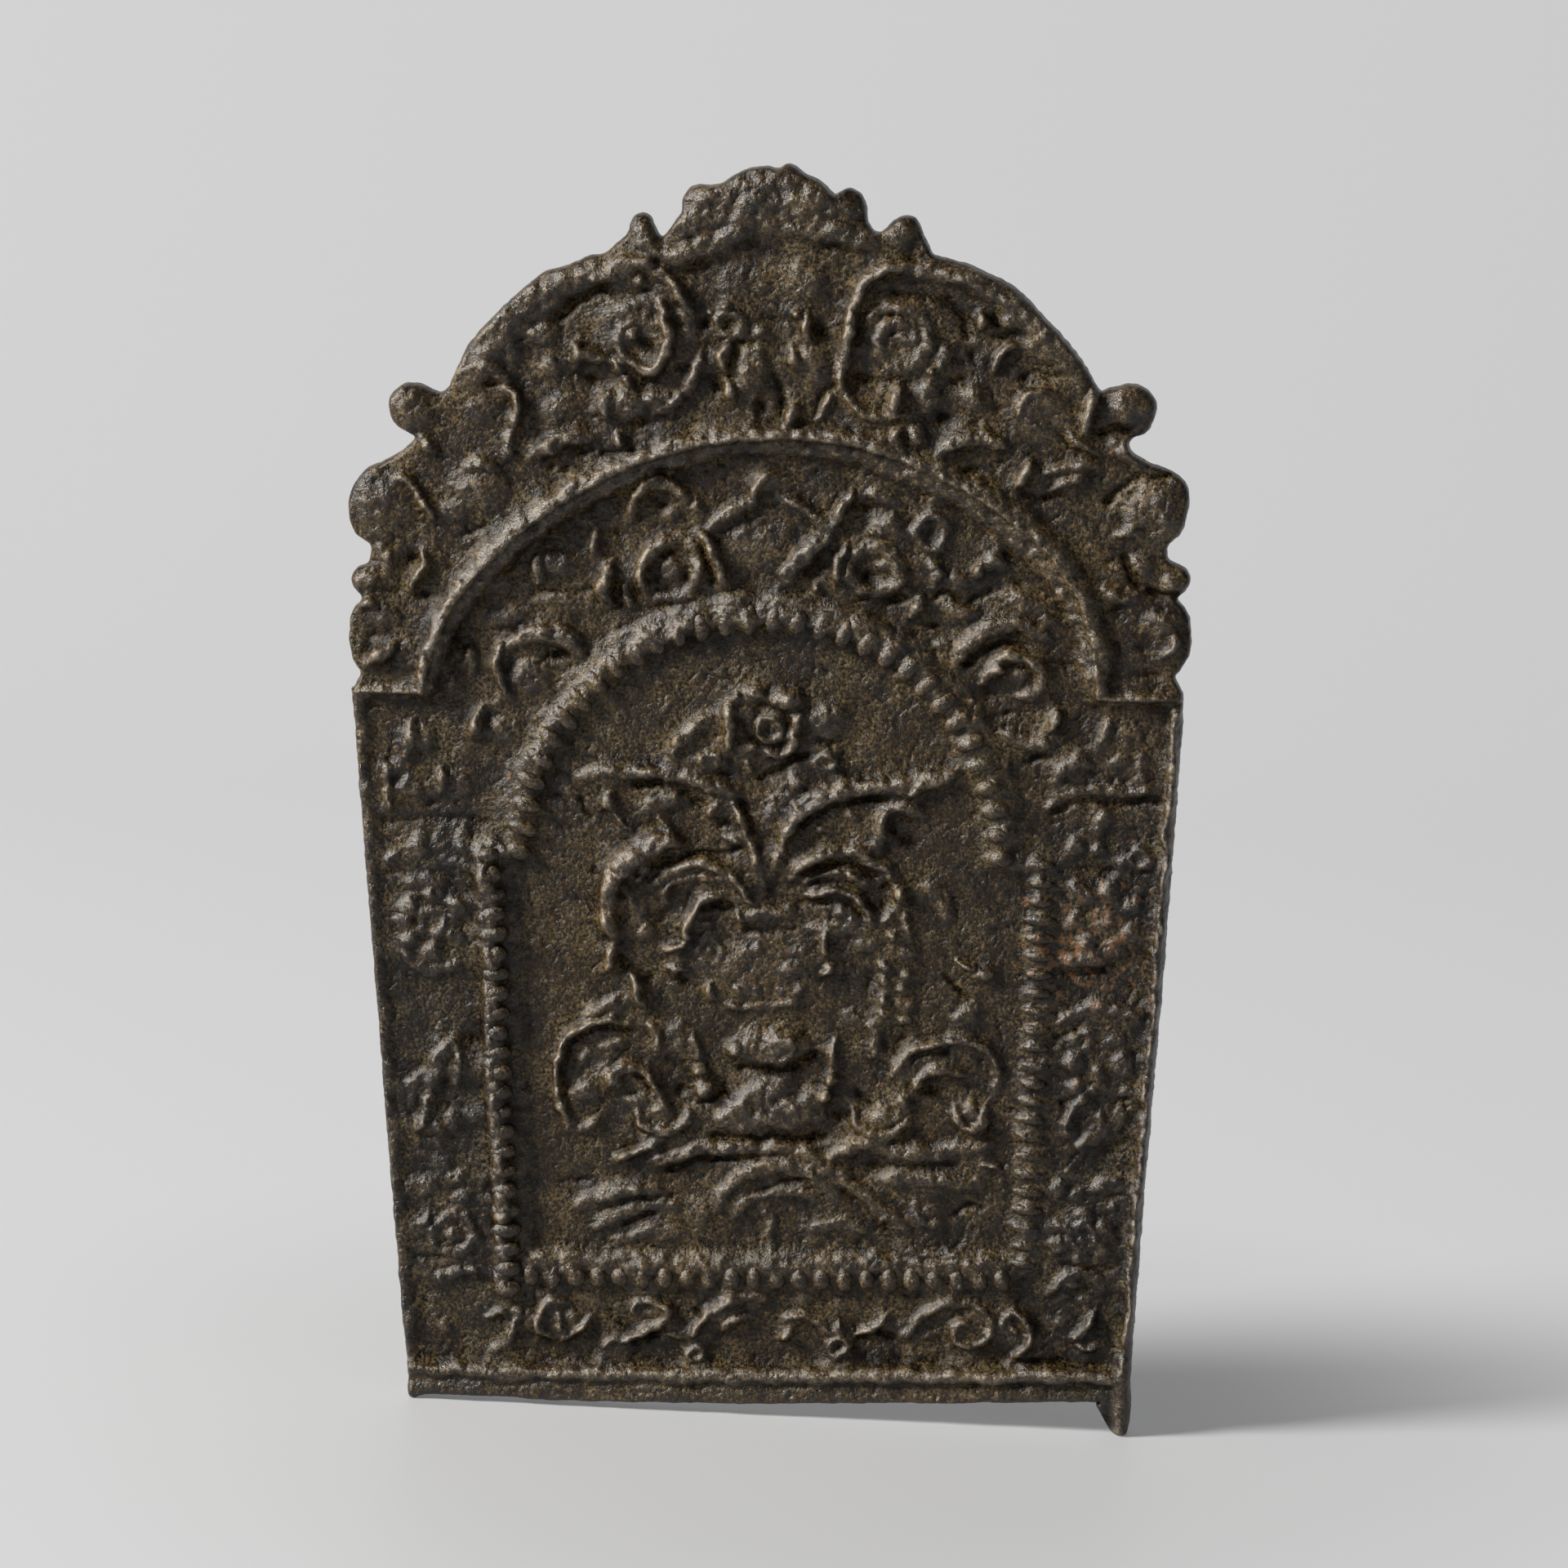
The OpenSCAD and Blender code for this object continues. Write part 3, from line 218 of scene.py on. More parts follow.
    def groove(self, points, w, depth):
        """A hollow with soft sides along a line, w its half width."""
        c = curve(points)
        (x0, z0), (x1, z1) = c.min(0) - 2 * w, c.max(0) + 2 * w
        win = self.window(x0, x1, z0, z1)
        d2 = np.full(self.X[win].shape, 1e9)
        for cx, cz in c:
            d2 = np.minimum(d2, (self.X[win] - cx) ** 2 + (self.Z[win] - cz) ** 2)
        self.cuts[win] += self.keep * depth * np.exp(-1.6 * d2 / w**2)

    # Several strokes of one kind, a row for each. The numbers of a row are in tenths of a millimetre,
    # apart from turns and angles.

    def ridges(self, *rows, soft=0.6):
        for row in rows:
            self.ridge(*(np.divide(part, 10) for part in row), soft=soft)

    def rings(self, *rows):
        for row in rows:
            self.ring(*np.divide(row, 10))

    def curls(self, *rows):
        for x, z, r0, r1, start, turns, w, h in rows:
            self.curl(*np.divide((x, z, r0, r1), 10), start, turns, w / 10, np.divide(h, 10))

    def domes(self, *rows, soft=0.55):
        for row in rows:
            self.dome(*np.divide(row[:5], 10), *row[5:], soft=soft)

    def grooves(self, *rows):
        for row in rows:
            self.groove(*(np.divide(part, 10) for part in row))

    def dents(self, *rows):
        for row in rows:
            self.dent(*np.divide(row[:5], 10), *row[5:])


def pairs(*numbers):
    """Points in mm from x and z in turn, given in tenths of a millimetre."""
    return np.reshape(numbers, (-1, 2)) / 10


# ---------------------------------------------------------------- guide lines, read off the photograph
# x to the right and z up, in turn. The outline runs up the left side, over the crest and down the right.

OUTLINE = pairs(
    -449, 33, -450, 50, -450, 64, -453, 90, -462, 200, -484, 520, -499, 740, -510, 905, -509, 922, -502, 936,
    -501, 946, -509, 960, -513, 985, -512, 1010, -506, 1023, -499, 1030, -498, 1039, -508, 1051, -509, 1063,
    -502, 1073, -492, 1076, -488, 1084, -485, 1098, -490, 1106, -502, 1114, -510, 1128, -512, 1146, -510, 1163,
    -503, 1179, -490, 1193, -472, 1202, -454, 1210, -438, 1222, -430, 1233, -436, 1240, -452, 1249, -460, 1263,
    -460, 1279, -452, 1292, -438, 1298, -423, 1296, -409, 1290, -398, 1288, -386, 1297, -374, 1324, -362, 1347,
    -340, 1372, -310, 1402, -272, 1432, -240, 1443, -215, 1454, -196, 1458, -180, 1470, -168, 1483, -162, 1499,
    -152, 1505, -143, 1502, -137, 1490, -130, 1479, -122, 1480, -110, 1496, -102, 1510, -100, 1524, -93, 1536,
    -82, 1540, -66, 1539, -52, 1543, -36, 1554, -16, 1561, 2, 1562, 14, 1560, 25, 1566, 35, 1562, 50, 1552, 68, 1543,
    81, 1530, 90, 1533, 100, 1536, 112, 1530, 119, 1516, 122, 1496, 130, 1486, 140, 1485, 152, 1497, 164, 1504,
    178, 1501, 185, 1490, 191, 1475, 202, 1457, 225, 1451, 255, 1441, 295, 1421, 326, 1393, 360, 1357, 386, 1322,
    403, 1295, 416, 1298, 436, 1303, 454, 1299, 467, 1288, 470, 1276, 467, 1260, 458, 1245, 444, 1240, 438, 1232,
    441, 1222, 454, 1212, 466, 1206, 488, 1198, 504, 1187, 511, 1170, 509, 1149, 503, 1126, 493, 1116, 486, 1109,
    486, 1092, 498, 1084, 510, 1076, 513, 1064, 506, 1052, 499, 1043, 506, 1033, 513, 1018, 515, 994, 512, 973,
    504, 959, 496, 948, 501, 936, 507, 922, 506, 902, 499, 780, 486, 580, 465, 300, 453, 120, 450, 70, 451, 44,
    450, 14, 445, 0, 433, 0, 426, 5, 416, 22, 409, 37, 400, 42, 250, 37, 100, 34, 0, 31, -100, 30, -200, 30, -280, 30,
    -330, 33, -410, 35, -434, 33, -442, 30)
ARCH = pairs(
    -420, 926, -408, 970, -390, 1013, -360, 1056, -320, 1099, -267, 1142, -202, 1181, -130, 1212, -60, 1229, 0, 1234,
    60, 1233, 120, 1223, 185, 1200, 250, 1168, 306, 1130, 350, 1086, 380, 1036, 395, 986, 402, 926)
BEAD = pairs(
    -306, 725, -301, 752, -296, 780, -290, 808, -280, 836, -264, 866, -244, 894, -222, 920, -192, 948, -162, 970,
    -130, 988, -98, 1000, -66, 1008, -33, 1013, 0, 1015, 33, 1013, 66, 1007, 98, 998, 128, 986, 156, 970, 182, 950,
    206, 926, 228, 900, 246, 872, 260, 842, 272, 812, 280, 782, 285, 752, 288, 723)
COL_L = pairs(-346, 720, -342, 660, -338, 600, -337, 520, -335, 440, -331, 360, -328, 280, -326, 200, -326, 173)
COL_R = pairs(330, 715, 329, 660, 328, 600, 325, 520, 322, 440, 318, 360, 314, 280, 310, 215)
ROW = pairs(-294, 189, -100, 190, 100, 192, 292, 194)
RIM_LEFT = pairs(-444, 55, -464, 300, -482, 560, -498, 800, -504, 910)
RIM_RIGHT = pairs(442, 55, 459, 300, 480, 600, 492, 780, 499, 910)
LEDGE_LEFT = pairs(-503, 919, -460, 917, -426, 920)
LEDGE_RIGHT = pairs(500, 920, 450, 921, 410, 919)
BEAD_FOOT = 72                               # height of the beaded arch's feet, from which its bands grow
INNER_BAND = [(x * 1.018, BEAD_FOOT + (z - BEAD_FOOT) * 1.02) for x, z in BEAD]
OUTER_BAND = [(x * 1.042, BEAD_FOOT + (z - BEAD_FOOT) * 1.05) for x, z in BEAD]


# ---------------------------------------------------------------- the relief's strokes
# Heights are above the ground of each place, as drawn for a fresh pattern; wear is taken off later.
# A row of ridges holds a line, its half width and its height, one of grooves a line, its half width and
# its depth, one of domes or dents the place, the half sizes, the height or depth, and a turn in degrees,
# one of rings the place, radius, half width and height. Rows are in tenths of a millimetre.

def edges(r):
    """Rims, ledges, base moulding and the right foot."""
    r.ridge(RIM_LEFT, 1.1, 0.7, taper=1)
    r.ridge(RIM_RIGHT, 0.8, [2.1, 2.1, 1.9, 1.7], taper=1)
    r.ridge([-44.5, 4, -30, 3.8, -10, 3.8, 10, 4.2, 30, 4.5, 44.2, 4.7], 2.4, 1.5, taper=1)
    r.ridge([-44.7, 6.7, -30, 6.5, -10, 6.5, 10, 6.9, 30, 7.3, 44.2, 7.6], 1.25, [1.9, 2, 2.1, 2.4, 2.5], taper=1)
    r.ridge(LEDGE_LEFT, 0.8, 1.05, taper=0.8)
    r.ridge(LEDGE_RIGHT, 0.9, 1.2, taper=0.8)
    r.ridge([43.9, 7.5, 44, 3.5, 44, 0.6], 1.4, 2.4, taper=0.9)


def mouldings(r):
    """Arch moulding, and the bands that carry beads and ribs with the iron that runs up round each."""
    r.ridge(ARCH, [1.7, 2.1, 2.2, 2.2, 2.6, 2.7, 2.2], [2.1, 2.2, 2.1, 1.9, 1.7, 1.7, 1.6], taper=0.8)
    r.ridge(OUTER_BAND, 2.1, [0.4, 0.6, 1.3, 0.9, 0.5], taper=0.8)
    r.ridge(INNER_BAND, 1.7, [1.15, 1.3, 1.8, 1.3, 0.9], taper=0.8)
    r.ridge([(x - 0.3, z) for x, z in COL_L], 1.5, 2.15, taper=0.9)
    r.ridge([(x + 1.4, z) for x, z in COL_L], 2.2, [0.5, 0.6, 0.7], taper=0.9)
    r.ridge([(x + 1.2, z) for x, z in COL_R], 2.2, [0.5, 0.6, 0.8], taper=0.9)
    r.ridge([-30, 20.6, -10, 20.6, 10, 20.9, 29, 21], 1.9, 1.25, taper=0.8)
    r.ridge([-36.4, 72.6, -33.2, 73, -30.8, 72], 1.3, 1.5)
    r.ridge([29, 71.9, 32, 71.8, 34.5, 71.5], 1.2, 1)
    for path, pitch, long, wide, h in RUNS.values():
        for x, z, turn in along(path, pitch):
            r.dome(x, z, wide / 2 * 1.1, long / 2 * 1.08, h * BEAD_SWELL, turn=turn, soft=0.25)


def along(path, pitch):
    """Even steps of about one pitch along a path: x, z and the path's direction in degrees."""
    c = curve(path, gap=0.1)
    t = np.r_[0, np.cumsum(np.hypot(*np.diff(c, axis=0).T))]
    n = int(round(t[-1] / pitch))
    s = np.linspace(0, t[-1], n + 1)
    d = [np.interp(s + 0.3, t, c[:, k]) - np.interp(s - 0.3, t, c[:, k]) for k in (0, 1)]
    return list(zip(np.interp(s, t, c[:, 0]), np.interp(s, t, c[:, 1]), np.degrees(np.arctan2(d[1], d[0]))))


# path, pitch along it, length across it, width along it, height
RUNS = {
    "arch_beads": (BEAD, 3.0, 3.7, 2.35, 2.35),
    "row_beads": (ROW, 2.75, 3.2, 2.30, 2.15),
    "ribs_left": ([(x + 0.3, z) for x, z in COL_L], 2.5, 3.6, 2.25, 2.75),
    "ribs_right": ([(x + 0.8, z) for x, z in COL_R], 2.27, 3.8, 1.50, 1.80),
}


def crest(r):
    """Cresting shell, volutes, plumes, leaf groups and the lobes of the edge."""
    # top shell, with its lower edge
    r.ridges(([-110, 1486, -60, 1512, 0, 1522, 60, 1516, 110, 1496], [23, 42, 46, 44, 27], [11, 13, 14, 14, 12]),
             soft=0.9)
    r.ridges(([-126, 1456, -96, 1460, -64, 1472, -34, 1486, -10, 1492], 16, [13, 16, 14, 10]),
             ([134, 1472, 96, 1484, 54, 1492, 20, 1494], 16, [11, 13, 12, 10]),
             ([54, 1540, 52, 1516, 59, 1498], 11, 7))
    r.domes((26, 1518, 17, 14, 6), (-64, 1514, 24, 18, 5, 20))
    r.ridges(([-152, 1492, -146, 1468, -128, 1458], 15, 12), ([164, 1492, 160, 1470], 20, 11),
             ([100, 1520, 108, 1493], 17, 12))
    r.domes((-30, 1426, 36, 24, 5, 10), (44, 1428, 32, 26, 6, -15))
    r.dents((-86, 1442, 28, 6, 7, 15), (84, 1466, 30, 6, 6, -12), (4, 1532, 13, 14, 5.5, 30))
    # left volute: a broad lumpy band along the edge, then a thin lip that winds into the eye
    r.ridges(([-374, 1288, -346, 1336, -306, 1380, -260, 1414, -210, 1432, -164, 1436], [24, 26, 28, 24, 19, 15],
              [9, 12, 13, 14, 14, 13]), soft=0.9)
    r.domes((-146, 1376, 54, 62, 9), soft=0.9)
    r.ridges(([-195, 1444, -154, 1448, -122, 1432, -103, 1402, -92, 1374, -89, 1344], [12, 10, 9],
              [12, 16, 16, 13, 9]),
             ([-131, 1404, -122, 1382, -117, 1358, -123, 1334, -142, 1319, -164, 1326, -178, 1346, -174, 1368,
               -158, 1378], [8, 10, 10, 9, 8], [19, 25, 25, 20, 15, 13, 12]))
    r.domes((-157, 1362, 11, 11, 23), (-151, 1425, 7, 9, 17), (-207, 1426, 6, 7, 19))
    r.grooves(([-250, 1386, -215, 1411, -176, 1409, -144, 1412], 8, 10))
    r.dents((-143, 1349, 15, 8, 11, -20), (-149, 1392, 16, 6, 7, -20))
    # right volute
    r.ridges(([384, 1302, 354, 1346, 314, 1388, 270, 1420, 220, 1436, 174, 1440], [18, 19, 20, 17, 15, 12],
              [11, 13, 14, 15, 15, 14]), soft=0.8)
    r.domes((162, 1366, 56, 64, 7), soft=0.9)
    r.ridges(([180, 1446, 142, 1442, 117, 1420, 106, 1390, 101, 1364, 96, 1334, 90, 1310, 96, 1288, 114, 1272,
               140, 1263, 170, 1269], [9, 9, 9.5, 9, 8], [16, 22, 24, 24, 19, 14, 15, 15, 13]))
    r.curls((161, 1356, 43, 15, 150, -1.5, 10, [12, 12, 10, 13, 12]))
    r.domes((166, 1356, 10, 10, 14))
    r.ridges(([166, 1308, 159, 1288, 155, 1268], 9.5, [13, 23, 16]))
    r.grooves(([154, 1414, 185, 1409, 220, 1405, 238, 1382, 246, 1362], 7.5, 11),
              ([110, 1312, 130, 1306, 154, 1310, 170, 1306], 8, 10))
    r.dents((152, 1387, 22, 4.5, 8, -8), (154, 1364, 7, 5, 7))
    # plumes between the volutes
    r.rings((-44, 1373, 15, 7, 11))
    r.domes((-47, 1396, 9, 6, 16))
    r.ridges(([-64, 1390, -72, 1389], 5, 12))
    r.domes((-20, 1318, 24, 38, 12), soft=0.8)
    r.ridges(([-44, 1354, -51, 1336, -46, 1314], [8, 10, 8], [14, 25, 20]),
             ([-49, 1306, -42, 1294, -38, 1278], [8, 10, 7], [16, 25, 15]), ([-8, 1292, -18, 1274, -15, 1258], 7, 10))
    r.domes((56, 1326, 26, 34, 10), soft=0.8)
    r.ridges(([30, 1352, 35, 1336, 42, 1318], [8, 10, 7], [16, 25, 15]),
             ([39, 1279, 31, 1264, 22, 1253], [7, 9, 7], [14, 22, 15]), ([80, 1292, 72, 1276, 62, 1262], 7, 13),
             ([50, 1384, 50, 1368, 52, 1354], 7, [15, 21, 16]), ([32, 1388, 44, 1386], 5.5, 18))
    r.domes((-6, 1366, 11, 8, 13, 20))
    r.ridges(([-76, 1338, -88, 1312, -96, 1286], 11, [10, 15, 12]),
             ([-98, 1292, -114, 1274, -138, 1266], 9, [15, 12, 9]))
    r.grooves(([-96, 1353, -60, 1351, -15, 1355], 4, 7), ([10, 1312, 22, 1288, 20, 1266], 6, 10),
              ([59, 1270, 72, 1290, 84, 1304], 5.5, 9))
    r.dents((-44, 1373, 8, 8, 6), (-72, 1378, 15, 8, 9, -30), (-61, 1304, 7, 11, 9, 20), (-8, 1276, 8, 12, 7, -15),
            (66, 1369, 9, 11, 9), (8, 1382, 14, 5, 7), (-102, 1320, 8, 13, 8, 20))
    # leaf groups below the left volute
    r.ridges(([-232, 1348, -226, 1336, -230, 1322], [8, 11, 8], [15, 23, 14]))
    r.domes((-210, 1335, 18, 12, 16, -20))
    r.ridges(([-195, 1334, -182, 1324, -174, 1308], 7, 13))
    r.domes((-168, 1302, 7, 8, 19))
    r.ridges(([-186, 1294, -196, 1276, -192, 1256], [9, 12, 8], [15, 24, 16]))
    r.domes((-168, 1276, 28, 22, 15, -15), (-134, 1282, 22, 15, 12, 15))
    r.ridges(([-180, 1246, -176, 1232, -180, 1222], [6, 9, 6], [14, 22, 14]),
             ([-284, 1210, -266, 1224, -240, 1236, -208, 1237], [8, 13, 13, 10], [12, 18, 14, 12]))
    r.domes((-254, 1270, 26, 18, 6, 30))
    r.ridges(([-358, 1322, -334, 1317, -314, 1304], 10, 13),
             ([-319, 1298, -307, 1286, -305, 1270, -312, 1246, -313, 1222, -320, 1208], [7, 9, 7],
              [14, 22, 16, 11, 9]))
    r.domes((-346, 1270, 22, 20, 7))
    r.domes((-348, 1172, 36, 28, 10), soft=0.9)
    r.ridges(([-370, 1200, -348, 1205, -324, 1196], 7, 11))
    r.domes((-316, 1342, 16, 24, 8, 30), (-272, 1362, 24, 16, 9, 35), (-264, 1322, 14, 16, 7))
    r.dents((-209, 1308, 17, 6, 13, -15), (-146, 1304, 19, 5, 10, 8), (-154, 1254, 16, 6, 8, 10),
            (-224, 1219, 13, 5, 10, 10), (-194, 1216, 9, 5, 10), (-245, 1198, 8, 6, 8), (-264, 1198, 7, 6, 8),
            (-332, 1303, 17, 4.5, 13, 5))
    # leaf groups below the right volute
    r.ridges(([258, 1394, 264, 1380, 259, 1366], [7, 10, 7], [16, 27, 16]))
    r.domes((298, 1382, 18, 15, 11))
    r.ridges(([274, 1318, 284, 1336, 302, 1352], 7, 16))
    r.domes((330, 1346, 24, 17, 10, -35), (214, 1336, 12, 18, 12, -20), (202, 1318, 5, 5, 18),
            (194, 1288, 20, 22, 11), (250, 1286, 16, 16, 9))
    r.domes((336, 1266, 38, 34, 10), soft=0.8)
    r.ridges(([303, 1256, 306, 1276, 322, 1292, 348, 1294], 8, [13, 16, 13, 10]),
             ([166, 1252, 156, 1242, 162, 1228], 8, [16, 20, 13]))
    r.domes((184, 1240, 12, 13, 13))
    r.ridges(([204, 1214, 218, 1226, 244, 1238, 276, 1236, 298, 1224], [8, 12, 14, 10], [16, 15, 13, 10]),
             ([398, 1296, 392, 1276, 384, 1256, 388, 1242], 8, [13, 20, 14]),
             ([324, 1213, 316, 1198, 306, 1178], [7, 9.5, 7], [16, 25, 16]),
             ([336, 1196, 360, 1203, 402, 1206], 8, 12), ([342, 1174, 360, 1184, 386, 1193], 7, 11),
             ([362, 1246, 382, 1230, 404, 1220], 8, 11))
    r.grooves(([310, 1312, 326, 1318, 342, 1312, 354, 1315], 4.5, 10), ([404, 1249, 422, 1254, 438, 1248], 6, 12),
              ([312, 1170, 334, 1164, 360, 1170], 5, 9), ([356, 1244, 374, 1226, 400, 1216], 4, 8))
    r.dents((279, 1382, 10, 12, 9, 30), (294, 1363, 22, 5, 9, 10), (234, 1310, 13, 7, 12), (250, 1340, 7, 14, 8),
            (215, 1260, 14, 8, 13, -20), (254, 1259, 6, 6, 9), (280, 1276, 6, 12, 7, 20), (338, 1260, 13, 10, 5),
            (246, 1199, 22, 6, 10, -8), (286, 1208, 10, 5, 8, 20), (296, 1226, 6, 9, 8))
    # lobes on the edges: smooth knobs
    r.domes((-433, 1268, 28, 29, 11), soft=0.8)
    r.ridges(([-420, 1239, -416, 1228, -406, 1216], 9, [10, 20, 13]))
    r.domes((439, 1276, 29, 28, 10), soft=0.8)
    r.ridges(([420, 1236, 432, 1222, 450, 1210], 12, 10))
    r.domes((-470, 1152, 38, 42, 11), soft=0.8)
    r.ridges(([-456, 1186, -436, 1178, -420, 1158, -408, 1132], 7.5, [10, 17, 17, 12]))
    r.domes((472, 1150, 38, 44, 10), soft=0.8)
    r.ridges(([424, 1120, 442, 1126, 466, 1116], 9, 10),
             ([-420, 1096, -417, 1080, -429, 1062, -439, 1044], 7, [12, 20, 17, 12]))
    r.domes((-490, 1060, 17, 13, 11))
    r.ridges(([-474, 1102, -462, 1084, -466, 1064], 9, 9))
    r.domes((-488, 1030, 12, 8, 15), (-468, 1012, 22, 15, 8))
    r.ridges(([-492, 952, -474, 966, -456, 980], [8, 11, 8], [14, 22, 15]))
    r.domes((-438, 968, 17, 17, 7), (494, 1064, 18, 14, 10), (458, 1086, 16, 13, 10, -30))
    r.ridges(([410, 1056, 430, 1044, 450, 1046], 8, 11))
    r.domes((480, 1016, 22, 17, 9))
    r.ridges(([499, 1002, 494, 984, 482, 972], 7, 14))
    r.domes((-380, 1146, 22, 16, 7, 20))
    r.grooves(([412, 1162, 426, 1176, 450, 1190, 484, 1196], 6, 12),
              ([434, 1094, 443, 1074, 458, 1056, 494, 1048], 6.5, 12))
    r.dents((-426, 1272, 12, 11, 3.5), (-478, 1180, 10, 7, 5, 30), (-454, 1144, 12, 16, 4.5), (444, 1172, 8, 8, 9),
            (432, 1142, 9, 13, 5), (-436, 1088, 15, 10, 12, 20), (-456, 1046, 12, 6, 7, 30),
            (-416, 1040, 14, 7, 8, 20), (-476, 992, 22, 5, 6, 8), (-438, 968, 11, 11, 7), (416, 1090, 12, 5, 8),
            (424, 1032, 16, 5, 8, -10), (460, 988, 11, 13, 7, 20), (426, 984, 5, 12, 6, 20), (470, 952, 26, 7, 10),
            (-358, 1120, 24, 6, 8, 30), (-388, 1076, 10, 7, 7))


def spandrel(r):
    """Tulip, rosettes and buds between the arch moulding and the beaded arch."""
    # tulip and its chevron
    r.domes((2, 1184, 32, 16, 9))
    r.ridges(([-13, 1158, -12, 1174, -4, 1188, 4, 1198], [7, 9, 6], [14, 22, 14]),
             ([-70, 1124, -54, 1138, -34, 1152, -10, 1162], [11, 12, 9], [13, 15, 13]),
             ([12, 1166, 40, 1152, 66, 1134, 80, 1124], [12, 10, 9], [10, 11, 12]),
             ([-86, 1122, -70, 1110, -60, 1090, -54, 1066, -52, 1048], [7, 9.5, 8], [14, 22, 18, 12]),
             ([80, 1120, 56, 1104, 36, 1082, 18, 1054], [10, 15, 14, 9], [15, 21, 20, 12]))
    r.domes((-8, 1106, 44, 32, 7), soft=0.8)
    r.domes((62, 1053, 7, 8, 17))
    r.grooves(([14, 1158, 38, 1146, 62, 1128], 3.5, 5), ([-76, 1100, -70, 1080, -66, 1058], 5, 9))
    r.dents((-22, 1062, 16, 7, 4, 10), (56, 1074, 22, 10, 9, 45), (42, 1048, 18, 5, 8, 15))
    # left rosette: an uneven, six-sided ring with a lump in it
    r.ridges(([-146, 1044, -153, 1062, -152, 1080, -139, 1098, -122, 1109, -98, 1115], [7, 10, 9],
              [12, 21, 22, 18, 11]),
             ([-98, 1112, -86, 1094, -84, 1070, -94, 1049, -116, 1039, -138, 1044], [8, 10, 9], [11, 15, 13, 11]))
    r.domes((-115, 1076, 19, 17, 13, 15))
    r.dents((-122, 1072, 7, 5, 5), (-116, 1096, 12, 4, 6, 10), (-134, 1064, 4, 10, 6), (-98, 1064, 5, 11, 7, 15),
            (-128, 1030, 20, 5, 8, 5))
    # right rosette, worn
    r.ridges(([100, 1109, 92, 1096, 88, 1078, 87, 1059], [6, 8, 6], [14, 23, 22, 12]))
    r.rings((132, 1076, 30, 10, 12, 28))
    r.domes((146, 1082, 12, 9, 11))
    r.ridges(([134, 1049, 154, 1059, 174, 1072], 9, [12, 18, 14]),
             ([104, 1172, 96, 1156, 86, 1138, 78, 1126], [7, 10, 8], [16, 24, 20, 15]))
    r.domes((142, 1166, 22, 10, 10, -20), (148, 1132, 20, 17, 10))
    r.ridges(([122, 1126, 134, 1118, 146, 1124], 6, 11))
    r.rings((202, 1122, 19, 8, 10))
    r.ridges(([190, 1046, 185, 1032, 178, 1018], [8, 11, 8], [15, 27, 16]),
             ([196, 1090, 208, 1072, 204, 1054], 9, 11))
    r.dents((126, 1070, 10, 8, 9), (120, 1042, 13, 6, 10, 15), (158, 1040, 22, 6, 11, 12), (118, 1154, 16, 8, 10, -8),
            (202, 1124, 8, 8, 8), (178, 1136, 10, 8, 8), (204, 1010, 12, 6, 11, -20))
    # left buds
    r.ridges(([-165, 1132, -162, 1150, -154, 1168, -136, 1180, -114, 1174, -98, 1158], [8, 10, 9], [13, 21, 15, 11]))
    r.domes((-116, 1144, 14, 11, 9))
    r.ridges(([-89, 1160, -84, 1148], 6, 11), ([-214, 1086, -209, 1106, -206, 1124], 8, [9, 15, 10]),
             ([-188, 1086, -196, 1068, -198, 1048, -190, 1024], [8, 11, 9], [12, 24, 23, 15]),
             ([-174, 1060, -170, 1040, -162, 1024], 7, 12),
             ([-276, 1094, -280, 1076, -280, 1054], [7, 10, 7], [11, 19, 12]))
    r.domes((-256, 1080, 20, 18, 9), (-244, 1032, 38, 13, 6, -5), (-332, 1056, 22, 14, 7, 20),
            (-316, 1016, 24, 10, 7, 10))
    r.grooves(([-184, 1064, -184, 1046, -178, 1028], 4, 9), ([-164, 1056, -159, 1040], 4, 8),
              ([-286, 1049, -250, 1047, -212, 1051], 3.5, 6))
    r.dents((-130, 1156, 14, 7, 8, -15), (-186, 1120, 15, 7, 7, -10), (-222, 1146, 18, 8, 7, 20),
            (-304, 1094, 14, 5, 6, 30))
    # right buds and leaves
    r.ridges(([262, 1092, 258, 1078, 256, 1064], [6, 9, 6], [12, 22, 12]))
    r.domes((278, 1086, 18, 13, 10), (234, 1066, 16, 12, 9), (238, 1026, 26, 12, 8, -10), (316, 1038, 34, 18, 9, -35),
            (342, 1016, 14, 10, 10), (214, 984, 12, 9, 10))
    r.grooves(([208, 1042, 224, 1048, 244, 1040, 272, 1050], 5, 11), ([354, 1040, 366, 1014, 378, 989], 7, 9))
    r.dents((296, 1096, 12, 6, 8, -40), (302, 1066, 18, 6, 6, -35))
    # left side rose: an arc over an open mound
    r.ridges(([-320, 978, -296, 990, -268, 995, -240, 986, -224, 968], [9, 15, 13], [10, 15, 14, 12]),
             ([-326, 982, -330, 960, -330, 938, -318, 916], 7, [10, 16, 14, 10]))
    r.domes((-290, 942, 28, 24, 9), soft=0.8)
    r.ridges(([-376, 956, -364, 970, -362, 944], 8, 12), ([-386, 946, -384, 924], 7, 13),
             ([-346, 902, -357, 884, -356, 864], 11, [12, 22, 15]))
    r.domes((-324, 876, 26, 18, 9))
    r.dents((-256, 969, 20, 7, 12, -8), (-334, 1000, 24, 4, 6))
